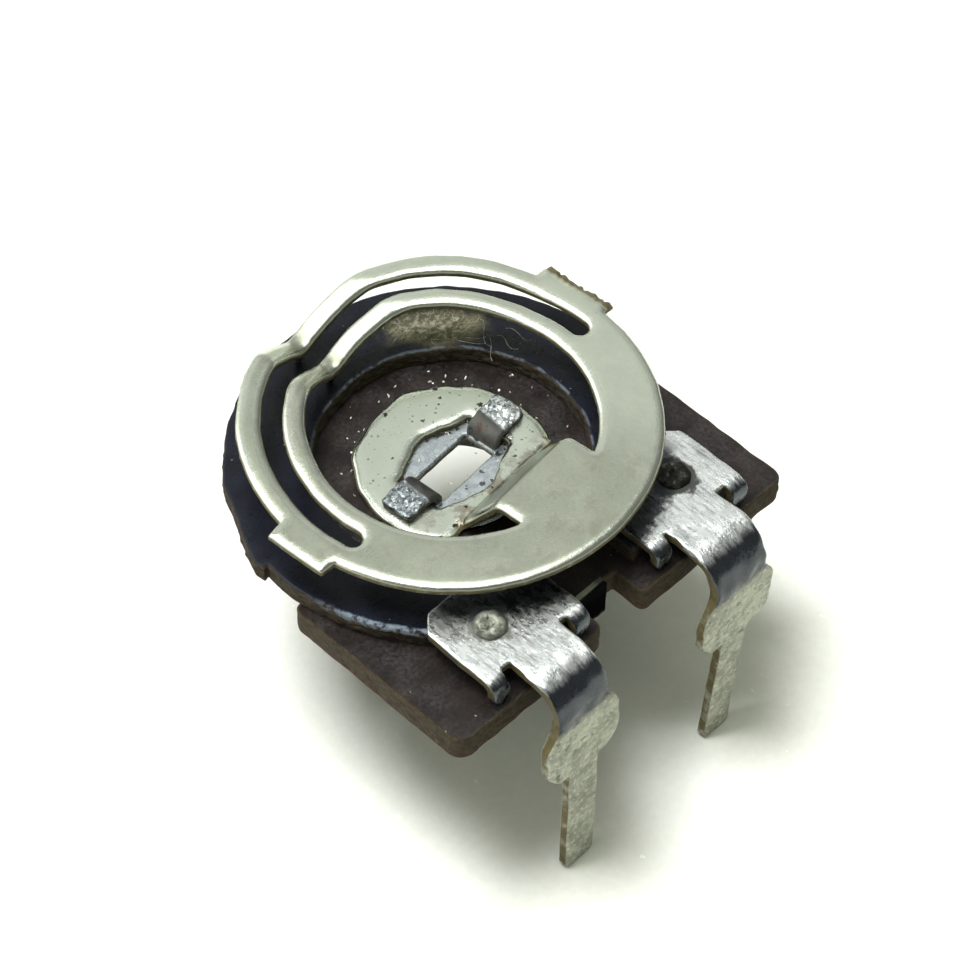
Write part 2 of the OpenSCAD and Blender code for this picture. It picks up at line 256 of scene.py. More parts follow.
@dataclass
class Shell:
    """A closed mesh in the making, with what its finish needs to know at each point."""

    points: Array
    faces: list[tuple[int, ...]]
    cut: Array
    rim: Array

    def mapped(self, place: Share) -> "Shell":
        """The shell with all its points moved by a function of them."""
        return Shell(place(self.points), self.faces, self.cut, self.rim)

    def mirrored(self) -> "Shell":
        """The shell's mirror image in the YZ plane, with its faces still pointing outwards."""
        return Shell(self.points * [-1, 1, 1], [face[::-1] for face in self.faces], self.cut, self.rim)

    def turned(self, degrees: float) -> "Shell":
        """The shell turned about the vertical axis."""
        c, s = math.cos(math.radians(degrees)), math.sin(math.radians(degrees))
        return self.mapped(lambda p: p @ np.array([[c, s, 0], [-s, c, 0], [0, 0, 1]]))

    def joined(self, other: "Shell") -> "Shell":
        """This shell and another as one."""
        base = len(self.points)
        return Shell(
            np.vstack([self.points, other.points]),
            self.faces + [tuple(i + base for i in face) for face in other.faces],
            np.concatenate([self.cut, other.cut]),
            np.concatenate([self.rim, other.rim]),
        )

    def dented(self, amount: float, wave: float, seed: int, where: Share | None = None) -> "Shell":
        """The shell with a soft unevenness, as handled sheet and dipped solder have.

        Args:
            amount: how far points move at most.
            wave: length of the unevenness.
            seed: picks another unevenness.
            where: gives each point's share of the amount.

        Returns:
            The uneven shell.
        """
        offset = Vector([seed * stride for stride in SEED_STRIDE])
        shift = np.array([noise.noise_vector(Vector(p) / wave + offset) for p in self.points]) * amount
        if where is not None:
            shift = shift * where(self.points)[:, None]
        return Shell(self.points + shift, self.faces, self.cut, self.rim)

    def mesh(self, name: str) -> bpy.types.Mesh:
        """The shell as a smooth mesh in metres, with its cut and rim attributes."""
        made = bpy.data.meshes.new(name)
        made.from_pydata((self.points * MM).tolist(), [], self.faces)
        for label, values in (("cut", self.cut), ("rim", self.rim)):
            attribute = made.attributes.new(label, "FLOAT", "POINT")
            attribute.data.foreach_set("value", values.astype(np.float32))
        made.shade_smooth()
        made.validate()
        made.update()
        return made


@dataclass
class Sheet:
    """A flat stamped or sawn piece: an outline with holes, a thickness and rounded edges."""

    outer: Outline
    holes: list[Outline]
    thickness: float
    grid: float = 0.12
    roll_width: float = 0.1
    roll_depth: float = 0.04
    burr: float = 0.02
    tear: float = 0.004
    seed: int = 1
    wall_rows: int = 4

    def shell(self) -> Shell:
        """The sheet lying on the plane z = 0.

        Returns:
            Its closed shell, with cut = 1 on its sheared walls and rim = distance from the edge.
        """
        lines = [self.outer.facing(True)] + [hole.facing(False) for hole in self.holes]
        plan, triangles, edges = self._plan(lines)
        distance, _ = nearest_and_inside(plan, lines)
        distance[np.concatenate(edges)] = 0
        top = np.column_stack([plan, self.thickness - self._drop(distance, self.roll_width, self.roll_depth)])
        low = np.column_stack([plan, self._drop(distance, self.burr, self.burr)])
        count = len(plan)
        points = [top, low]
        faces = [tuple(t) for t in triangles] + [tuple(t[::-1] + count) for t in triangles]
        base = 2 * count
        rng = np.random.default_rng(self.seed)
        for line, ids in zip(lines, edges):
            wall, wall_faces = self._wall(line, ids, top, low, base, rng)
            points += wall
            faces += wall_faces
            base += len(line.points) * self.wall_rows
        on_walls = base - 2 * count
        cut = np.concatenate([np.tile(np.where(distance < 1e-6, 1.0, 0.0), 2), np.ones(on_walls)])
        rim = np.concatenate([distance, distance, np.zeros(on_walls)])
        return Shell(np.vstack(points), [tuple(int(i) for i in face) for face in faces], cut, rim)

    def _plan(self, lines: list[Outline]) -> tuple[Array, Array, list[Array]]:
        """Parts the sheet's plane into triangles.

        Args:
            lines: the outer line, anticlockwise, and the holes, clockwise.

        Returns:
            The points, the triangles between the lines, and the numbers of each line's points.
        """
        flat, first = self._points(lines)
        runs = [range(start, start + len(line.points)) for line, start in zip(lines, first)]
        edges = [(i, run[(n + 1) % len(run)]) for run in runs for n, i in enumerate(run)]
        verts, _, faces, origin, _, _ = delaunay_2d_cdt([Vector(p) for p in flat], edges, [], 0, 1e-7)
        plan = np.array([v[:] for v in verts])
        where = {source: i for i, sources in enumerate(origin) for source in sources}
        triangles = np.array([face for face in faces if len(face) == 3])
        _, inside = nearest_and_inside(plan[triangles].mean(axis=1), lines)
        triangles = triangles[inside]
        a, b, c = (plan[triangles[:, k]] for k in range(3))
        area = (b[:, 0] - a[:, 0]) * (c[:, 1] - a[:, 1]) - (b[:, 1] - a[:, 1]) * (c[:, 0] - a[:, 0])
        triangles[area < 0] = triangles[area < 0][:, ::-1]
        triangles = triangles[np.abs(area) > 1e-12]
        return plan, triangles, [np.array([where[i] for i in run]) for run in runs]

    def _wall(self, line: Outline, ids: Array, top: Array, low: Array, base: int,
              rng: np.random.Generator) -> tuple[list[Array], list[tuple[int, ...]]]:
        """The torn wall below one edge.

        Args:
            line: the edge.
            ids: the numbers of the edge's points on the top.
            top: the top's points.
            low: the underside's points.
            base: the number of the wall's first point.
            rng: gives the seeds of its tears.

        Returns:
            The wall's rows of points, and its faces.
        """
        size, out = len(line.points), line.outwards()
        points, rows = [], [ids]
        for row in range(1, self.wall_rows + 1):
            share = row / (self.wall_rows + 1)
            bulge = smooth_random(size, 2.0, int(rng.integers(1 << 30))) * self.tear
            height = top[ids, 2] + (low[ids, 2] - top[ids, 2]) * share
            points.append(np.column_stack([line.points + out * bulge[:, None], height]))
            rows.append(np.arange(size) + base + size * (row - 1))
        rows.append(ids + len(top))
        faces = []
        for high, below in zip(rows, rows[1:]):
            faces += zip(high, below, np.roll(below, -1), np.roll(high, -1))
        return points, faces

    def _points(self, lines: list[Outline]) -> tuple[Array, list[int]]:
        """Spreads points over the sheet.

        Args:
            lines: the outer line and the holes.

        Returns:
            Points on the edges, in rows just inside them and on a grid, and the number of each
            line's first point.
        """
        first = list(np.cumsum([0] + [len(line.points) for line in lines])[:-1])
        on_edge = np.vstack([line.points for line in lines])
        rows = []
        for angle in (28, 50, 70, 90):
            depth = self.roll_width * (1 - math.cos(math.radians(angle)))
            row = np.vstack([line.points - line.outwards() * depth for line in lines])
            if angle == 90:
                row = row[::2]
            distance, inside = nearest_and_inside(row, lines)
            rows.append(row[inside & (distance > depth * 0.93)])
        low, high = on_edge.min(axis=0), on_edge.max(axis=0)
        across = np.arange(low[0], high[0], self.grid)
        up = np.arange(low[1], high[1], self.grid * 0.866)
        x, y = np.meshgrid(across, up)
        x[1::2] += self.grid / 2
        grid = np.column_stack([x.ravel(), y.ravel()])
        distance, inside = nearest_and_inside(grid, lines)
        rows.append(grid[inside & (distance > self.roll_width + self.grid * 0.45)])
        return np.vstack([on_edge] + rows), [int(i) for i in first]

    @staticmethod
    def _drop(distance: Array, width: float, depth: float) -> Array:
        """How far a rounded edge lies below the face, at a distance from the edge."""
        t = np.clip((width - distance) / width, 0, 1)
        return depth * (1 - np.sqrt(1 - t * t))


def turned_shell(profile: Sequence[Pair], around: int = 128) -> Shell:
    """A shell turned round the vertical axis.

    Args:
        profile: radius and height of each point of a closed line, run anticlockwise.
        around: how many points go round.

    Returns:
        The closed shell, with its poles closed where the radius is 0.
    """
    points: list[Point] = []
    rings: list[list[int]] = []
    for radius, height in profile:
        if radius < 1e-9:
            rings.append([len(points)] * around)
            points.append((0.0, 0.0, height))
            continue
        rings.append(list(range(len(points), len(points) + around)))
        for k in range(around):
            a = 2 * math.pi * k / around
            points.append((radius * math.cos(a), radius * math.sin(a), height))
    faces = []
    for low, high in zip(rings, rings[1:] + rings[:1]):
        for k in range(around):
            j = (k + 1) % around
            face = tuple(dict.fromkeys((low[k], low[j], high[j], high[k])))
            if len(face) > 2:
                faces.append(face)
    count = len(points)
    return Shell(np.array(points), faces, np.zeros(count), np.full(count, 1.0))


def rounded_profile(corners: Sequence[Corner]) -> list[Pair]:
    """A closed profile line with rounded corners, for turning.

    Args:
        corners: radius, height and rounding of each corner, anticlockwise.

    Returns:
        The line's points.
    """
    line: list[Pair] = []
    for i, (x, y, radius) in enumerate(corners):
        here = np.array([x, y])
        before = np.array(corners[i - 1][:2]) - here
        after = np.array(corners[(i + 1) % len(corners)][:2]) - here
        if radius <= 0:
            line.append((x, y))
            continue
        len_before, len_after = np.linalg.norm(before), np.linalg.norm(after)
        reach = min(radius, len_before * 0.48, len_after * 0.48)
        turn = turn_points(here, before / len_before, after / len_after, reach, 6)
        line += [(float(spot[0]), float(spot[1])) for spot in turn]
    return line


def fold(at: Array, knots: Sequence[Pair], softness: float) -> Array:
    """Height along a sheet that is folded at some places.

    Args:
        at: places along the sheet, seen from above.
        knots: place and height of each fold.
        softness: half the width of each fold's rounding.

    Returns:
        The height at each place.
    """
    xs, zs = np.array(knots).T
    return np.mean([np.interp(at + shift, xs, zs) for shift in np.linspace(-1, 1, 15) * softness], axis=0)


def quarter_turn(radius: float) -> float:
    """Length of a bend through a quarter turn."""
    return radius * math.pi / 2


# ---- shader nodes


class Graph:
    """Adds nodes to one node tree and joins them."""

    def __init__(self, tree: bpy.types.NodeTree):
        """Keeps the tree."""
        self.tree = tree

    def add(self, kind: str, inputs: dict[Any, Any] | None = None, **settings: Any) -> bpy.types.Node:
        """Adds a node.

        Args:
            kind: the node's type name.
            inputs: a value or a socket for each input, by name or index.
            settings: the node's own properties.

        Returns:
            The node.
        """
        node = self.tree.nodes.new(kind)
        for name, value in settings.items():
            setattr(node, name, value)
        for key, value in (inputs or {}).items():
            self.feed(node.inputs[key], value)
        return node

    def feed(self, socket: Socket, value: Any) -> None:
        """Joins a socket to another, or sets its value."""
        if isinstance(value, Socket):
            self.tree.links.new(value, socket)
        else:
            socket.default_value = value

    def math(self, operation: str, a: Any, b: Any = 0.0) -> Socket:
        """The result of a Math node."""
        return self.add("ShaderNodeMath", {0: a, 1: b}, operation=operation).outputs[0]

    def times(self, a: Any, b: Any) -> Socket:
        """The product of two numbers."""
        return self.math("MULTIPLY", a, b)

    def plus(self, a: Any, b: Any) -> Socket:
        """The sum of two numbers."""
        return self.math("ADD", a, b)

    def less(self, a: Any, b: Any) -> Socket:
        """The first number less the second."""
        return self.math("SUBTRACT", a, b)

    def larger(self, a: Any, b: Any) -> Socket:
        """The larger of two numbers."""
        return self.math("MAXIMUM", a, b)

    def jitter(self, value: Any, noise_value: Any, amount: float) -> Socket:
        """A value moved up or down by a noise, so that what it draws has an uneven edge."""
        return self.plus(value, self.times(self.less(noise_value, 0.5), amount))

    def vector(self, operation: str, a: Any, b: Any = None) -> Socket:
        """The vector result of a Vector Math node; b of a scale is a number."""
        inputs = {0: a} if b is None else ({0: a, "Scale": b} if operation == "SCALE" else {0: a, 1: b})
        return self.add("ShaderNodeVectorMath", inputs, operation=operation).outputs[0]

    def dot(self, a: Any, b: Any) -> Socket:
        """The dot product of two vectors."""
        return self.add("ShaderNodeVectorMath", {0: a, 1: b}, operation="DOT_PRODUCT").outputs["Value"]

    def length(self, a: Any) -> Socket:
        """The length of a vector."""
        return self.add("ShaderNodeVectorMath", {0: a}, operation="LENGTH").outputs["Value"]

    def parts(self, a: Any) -> Any:
        """The x, y and z of a vector."""
        return self.add("ShaderNodeSeparateXYZ", {0: a}).outputs

    def plan(self, x: Any, y: Any) -> Socket:
        """The vector of an x and a y, with no z."""
        return self.add("ShaderNodeCombineXYZ", {0: x, 1: y}).outputs[0]

    def stretched(self, place: Any, scale: Point, turn: float = 0.0) -> Socket:
        """Coordinates that a turn about Z, in radians, and a scale have drawn out."""
        inputs = {"Vector": place, "Rotation": (0, 0, turn), "Scale": scale}
        return self.add("ShaderNodeMapping", inputs).outputs[0]

    def ramp(self, value: Any, low: Any, high: Any, to_low: float = 0.0, to_high: float = 1.0) -> Socket:
        """A smooth step of a value from one level to another."""
        inputs = {"Value": value, "From Min": low, "From Max": high, "To Min": to_low, "To Max": to_high}
        return self.add("ShaderNodeMapRange", inputs, interpolation_type="SMOOTHSTEP").outputs[0]

    def mix(self, factor: Any, a: Any, b: Any) -> Socket:
        """A mix of two colours."""
        a, b = ((*c, 1.0) if isinstance(c, tuple) and len(c) == 3 else c for c in (a, b))
        return self.add("ShaderNodeMix", {0: factor, 6: a, 7: b}, data_type="RGBA").outputs[2]

    def laid(self, tone: Any, colour: Any, mask: Any, share: Any) -> Socket:
        """A tone with a share of a colour laid over it where a mask is."""
        return self.mix(self.times(mask, share), tone, colour)

    def blend(self, factor: Any, a: Any, b: Any) -> Socket:
        """A mix of two numbers."""
        return self.add("ShaderNodeMix", {0: factor, 2: a, 3: b}, data_type="FLOAT").outputs[0]

    def noise(self, vector: Any, scale: Any, detail: float = 3.0, rough: float = 0.55) -> Socket:
        """The value of a Noise Texture node."""
        inputs = {"Vector": vector, "Scale": scale, "Detail": detail, "Roughness": rough}
        return self.add("ShaderNodeTexNoise", inputs).outputs["Fac"]

    def wobbled(self, vector: Any, scale: float, detail: float, amount: float) -> Socket:
        """Coordinates that noise has moved, so that the cells drawn on them are uneven."""
        inputs = {"Vector": vector, "Scale": scale, "Detail": detail}
        shift = self.vector("SUBTRACT", self.add("ShaderNodeTexNoise", inputs).outputs["Color"], (0.5,) * 3)
        return self.vector("ADD", vector, self.vector("SCALE", shift, amount))

    def attribute(self, name: str) -> Socket:
        """The value of a mesh attribute."""
        return self.add("ShaderNodeAttribute", attribute_name=name).outputs["Fac"]

    def bump(self, height: Any, distance: float, strength: Any = 1.0, normal: Any = None) -> Socket:
        """A normal that follows a height; distance is in millimetres."""
        inputs = {"Height": height, "Distance": distance * MM, "Strength": strength}
        if normal is not None:
            inputs["Normal"] = normal
        return self.add("ShaderNodeBump", inputs).outputs[0]


class Effect:
    """A shader node group that several finishes share. It takes a place and some numbers."""

    name = ""
    takes: dict[str, float] = {}
    gives: tuple[str, ...] = ("Mask",)

    def wire(self, graph: Graph, given: Any) -> dict[str, Socket]:
        """Builds the inside of the group.

        Args:
            graph: the group's graph.
            given: the group's inputs, by name.

        Returns:
            What feeds each of its outputs.
        """
        raise NotImplementedError

    def tree(self) -> bpy.types.NodeTree:
        """The group's node tree, built on its first use."""
        found = bpy.data.node_groups.get(self.name)
        if found is not None:
            return found
        made = bpy.data.node_groups.new(self.name, "ShaderNodeTree")
        made.interface.new_socket("Place", in_out="INPUT", socket_type="NodeSocketVector")
        for label, value in self.takes.items():
            socket = made.interface.new_socket(label, in_out="INPUT", socket_type="NodeSocketFloat")
            socket.default_value = value
        for label in self.gives:
            made.interface.new_socket(label, in_out="OUTPUT", socket_type="NodeSocketFloat")
        graph = Graph(made)
        given = graph.add("NodeGroupInput").outputs
        result = graph.add("NodeGroupOutput").inputs
        for label, socket in self.wire(graph, given).items():
            graph.feed(result[label], socket)
        return made

    def use(self, graph: Graph, place: Socket, **values: Any) -> Any:
        """Places the group in a material.

        Args:
            graph: the material's graph.
            place: the coordinates that the effect is drawn on.
            values: a value or a socket for each other input.

        Returns:
            The placed group's outputs.
        """
        node = graph.add("ShaderNodeGroup", {"Place": place}, node_tree=self.tree())
        for label, value in values.items():
            graph.feed(node.inputs[label], value)
        return node.outputs


class Specks(Effect):
    """Uneven specks scattered over a surface."""

    name = "specks"
    takes = {"Scale": 6.0, "Share": 0.3, "Size": 0.3}

    def wire(self, graph: Graph, given: Any) -> dict[str, Socket]:
        """Voronoi cells, some of which hold a speck whose outline noise makes uneven."""
        moved = graph.wobbled(graph.vector("SCALE", given["Place"], given["Scale"]), 2.6, 2.0, 0.7)
        cell = graph.add("ShaderNodeTexVoronoi", {"Vector": moved, "Scale": 1.0}, feature="F1").outputs
        chance = graph.add("ShaderNodeSeparateColor", {0: cell["Color"]}).outputs
        held = graph.math("LESS_THAN", chance[0], given["Share"])
        size = graph.times(given["Size"], graph.plus(chance[1], 0.25))
        spot = graph.ramp(graph.math("DIVIDE", cell["Distance"], size), 1.0, 0.7)
        return {"Mask": graph.times(spot, held)}


class Patches(Effect):
    """Soft patches of stain, dust or bare metal."""

    name = "patches"
    takes = {"Scale": 1.0, "Level": 0.55, "Softness": 0.1}

    def wire(self, graph: Graph, given: Any) -> dict[str, Socket]:
        """Noise, cut off at a level."""
        value = graph.noise(given["Place"], given["Scale"], 5.0, 0.62)
        low = graph.less(given["Level"], given["Softness"])
        high = graph.plus(given["Level"], given["Softness"])
        return {"Mask": graph.ramp(value, low, high)}


class Crystals(Effect):
    """Small flat facets at random angles, as frozen tin has."""

    name = "crystals"
    takes = {"Scale": 12.0}
    gives = ("Height", "Shade")

    def wire(self, graph: Graph, given: Any) -> dict[str, Socket]:
        """Voronoi cells, each a plane tilted its own way."""
        moved = graph.wobbled(graph.vector("SCALE", given["Place"], given["Scale"]), 1.5, 3.0, 0.9)
        cell = graph.add("ShaderNodeTexVoronoi", {"Vector": moved, "Scale": 1.0}, feature="F1").outputs
        tilt = graph.vector("SUBTRACT", cell["Color"], (0.5, 0.5, 0.5))
        local = graph.vector("SUBTRACT", moved, cell["Position"])
        chance = graph.add("ShaderNodeSeparateColor", {0: cell["Color"]}).outputs
        return {"Height": graph.dot(local, tilt), "Shade": chance[2]}


class Grain(Effect):
    """Fine unevenness of a surface, with a few long scratches."""

    name = "grain"
    takes = {"Scale": 20.0, "Scratches": 0.5}
    gives = ("Height",)

    def wire(self, graph: Graph, given: Any) -> dict[str, Socket]:
        """Noise, with noise drawn out long laid over it."""
        fine = graph.noise(given["Place"], given["Scale"], 4.0, 0.6)
        drawn = graph.stretched(given["Place"], (0.6, 22.0, 6.0), 0.6)
        streak = graph.ramp(graph.noise(drawn, 1.3, 2.0), 0.62, 0.72)
        return {"Height": graph.less(fine, graph.times(streak, given["Scratches"]))}


SPECKS, PATCHES, CRYSTALS, GRAIN = Specks(), Patches(), Crystals(), Grain()

# ---- finishes


@dataclass(frozen=True)
class Finish:
    """A procedural material. Its places are object coordinates in millimetres."""

    name: str
    ior: float = 1.5

    def shade(self, graph: Graph, place: Socket) -> Inputs:
        """Builds the finish.

        Args:
            graph: the material's graph.
            place: object coordinates in millimetres.

        Returns:
            What feeds the Principled BSDF's inputs, by name.
        """
        raise NotImplementedError

    def material(self) -> bpy.types.Material:
        """The finish as a material, built on its first use."""
        found = bpy.data.materials.get(self.name)
        if found is not None:
            return found
        made = bpy.data.materials.new(self.name)
        made.use_nodes = True
        made.node_tree.nodes.clear()
        graph = Graph(made.node_tree)
        coordinates = graph.add("ShaderNodeTexCoord").outputs["Object"]
        place = graph.vector("SCALE", coordinates, 1 / MM)
        shader = graph.add("ShaderNodeBsdfPrincipled")
        shader.inputs["IOR"].default_value = self.ior
        for label, value in self.shade(graph, place).items():
            graph.feed(shader.inputs[label], value)
        graph.add("ShaderNodeOutputMaterial", {"Surface": shader.outputs[0]})
        return made


def shaded(colour: Colour, share: float) -> Colour:
    """A colour made lighter or darker by a share of itself."""
    return tuple(min(1.0, c * share) for c in colour)


@dataclass(frozen=True)
class NickelSilver(Finish):
    """Satin spring sheet: dull pale metal, olive where it is sheared, specked and stained on the hub."""

    face: Colour = (0.5, 0.54, 0.43)
    handled: Colour = (0.36, 0.37, 0.28)
    grime: Colour = (0.3, 0.29, 0.2)
    valley_shade: Colour = (0.24, 0.235, 0.165)
    painted_rim_highlight: Colour = (0.8, 0.84, 0.72)
    painted_lit_side: Colour = (0.74, 0.79, 0.655)
    hub_face: Colour = (0.76, 0.82, 0.71)
    sheared: Colour = (0.065, 0.055, 0.027)
    speck: Colour = (0.02, 0.016, 0.01)
    stain: Colour = (0.2, 0.125, 0.06)
    hub_radius: float = 2.5
    hub_top: float = 0.6
    lit_side_towards: Point = (1.0, 0.35, 0.0)
    lit_side_reach: float = 2.6
    valley_top: float = 1.45
    valley_from_y: float = 2.6

    def shade(self, graph: Graph, place: Socket) -> Inputs:
        """Cloudy satin face with shallow scratches and dirt near the axis."""
        cloud = graph.noise(place, 0.9, 4.0, 0.6)
        fine = graph.noise(place, 14.0, 3.0, 0.6)
        tone = graph.mix(graph.ramp(cloud, 0.3, 0.7), shaded(self.face, 0.94), shaded(self.face, 1.05))
        tone = graph.mix(graph.ramp(fine, 0.35, 0.75, 0.0, 0.3), tone, self.handled)
        grimy = PATCHES.use(graph, place, Scale=1.7, Level=0.6, Softness=0.1)["Mask"]
        tone = graph.laid(tone, self.grime, grimy, 0.35)
        # Painted highlight: a lighter colour along the rolled rims, which are also made smoother.
        uneven = graph.ramp(graph.noise(place, 2.2), 0.3, 0.5, 0.5, 1.0)
        rim_polish_and_highlight = graph.times(graph.ramp(graph.attribute("rim"), 0.23, 0.15), uneven)
        tone = graph.laid(tone, self.painted_rim_highlight, rim_polish_and_highlight, 0.5)
        x, y, z = graph.parts(place)
        # Painted shade: the left slopes of the dip darkened in patches.
        tone = graph.mix(self._in_valley(graph, place), tone, self.valley_shade)
        # Painted light: the sheet lightened towards the right, the dip's right slopes too.
        painted_lit_side = graph.ramp(graph.dot(place, self.lit_side_towards), 0.0, self.lit_side_reach)
        tone = graph.laid(tone, self.painted_lit_side, painted_lit_side, 0.72)
        radius = graph.length(graph.plan(x, y))
        on_hub = graph.times(graph.ramp(radius, self.hub_radius + 0.1, self.hub_radius - 0.1),
                             graph.ramp(z, self.hub_top + 0.1, self.hub_top))
        tone = graph.laid(tone, self.hub_face, on_hub, 0.65)
        stained = graph.times(PATCHES.use(graph, place, Scale=2.6, Level=0.51, Softness=0.07)["Mask"],
                              graph.times(on_hub, graph.ramp(y, -0.5, -1.5)))
        tone = graph.laid(tone, self.stain, stained, 0.75)
        dirt = self._dirt(graph, place, on_hub)
        tone = graph.mix(dirt, tone, self.speck)
        broken = graph.times(graph.attribute("cut"), graph.ramp(graph.noise(place, 5.0), 0.2, 0.5, 0.72, 1.0))
        edge_tone = graph.mix(graph.noise(place, 9.0), self.sheared, shaded(self.sheared, 2.2))
        tone = graph.mix(broken, tone, edge_tone)
        dull = graph.larger(dirt, broken)
        rough = graph.blend(rim_polish_and_highlight, graph.ramp(cloud, 0.3, 0.7, 0.27, 0.34), 0.16)
        rough = graph.blend(dull, rough, 0.62)
        normal = graph.bump(GRAIN.use(graph, place, Scale=26.0, Scratches=0.35)["Height"], 0.006, 0.6)
        normal = graph.bump(graph.noise(place, 3.5, 4.0, 0.65), 0.018, 0.4, normal)
        metal = graph.blend(dull, 1.0, 0.35)
        return {"Base Color": tone, "Metallic": metal, "Roughness": rough, "Normal": normal}

    def _in_valley(self, graph: Graph, place: Socket) -> Socket:
        """Where painted shade lies on the left slopes of the dip over the contacts."""
        x, y, z = graph.parts(place)
        mask = graph.ramp(z, self.valley_top, self.valley_top - 0.25)
        mask = graph.times(mask, graph.ramp(x, -0.15, -0.35))
        mask = graph.times(mask, graph.ramp(y, self.valley_from_y, self.valley_from_y + 0.3))
        return graph.times(mask, graph.ramp(graph.noise(place, 3.0, 4.0, 0.6), 0.35, 0.6, 0.25, 0.75))

    def _dirt(self, graph: Graph, place: Socket, on_hub: Socket) -> Socket:
        """Specks of dirt: many on the hub, few elsewhere."""
        few = SPECKS.use(graph, place, Scale=2.6, Share=0.16, Size=0.11)["Mask"]
        many = SPECKS.use(graph, place, Scale=3.7, Share=0.5, Size=0.27)["Mask"]
        tiny = SPECKS.use(graph, place, Scale=9.0, Share=0.3, Size=0.3)["Mask"]
        thick = graph.times(graph.larger(many, graph.times(tiny, 0.8)), on_hub)
        return graph.larger(thick, graph.times(few, 0.35))


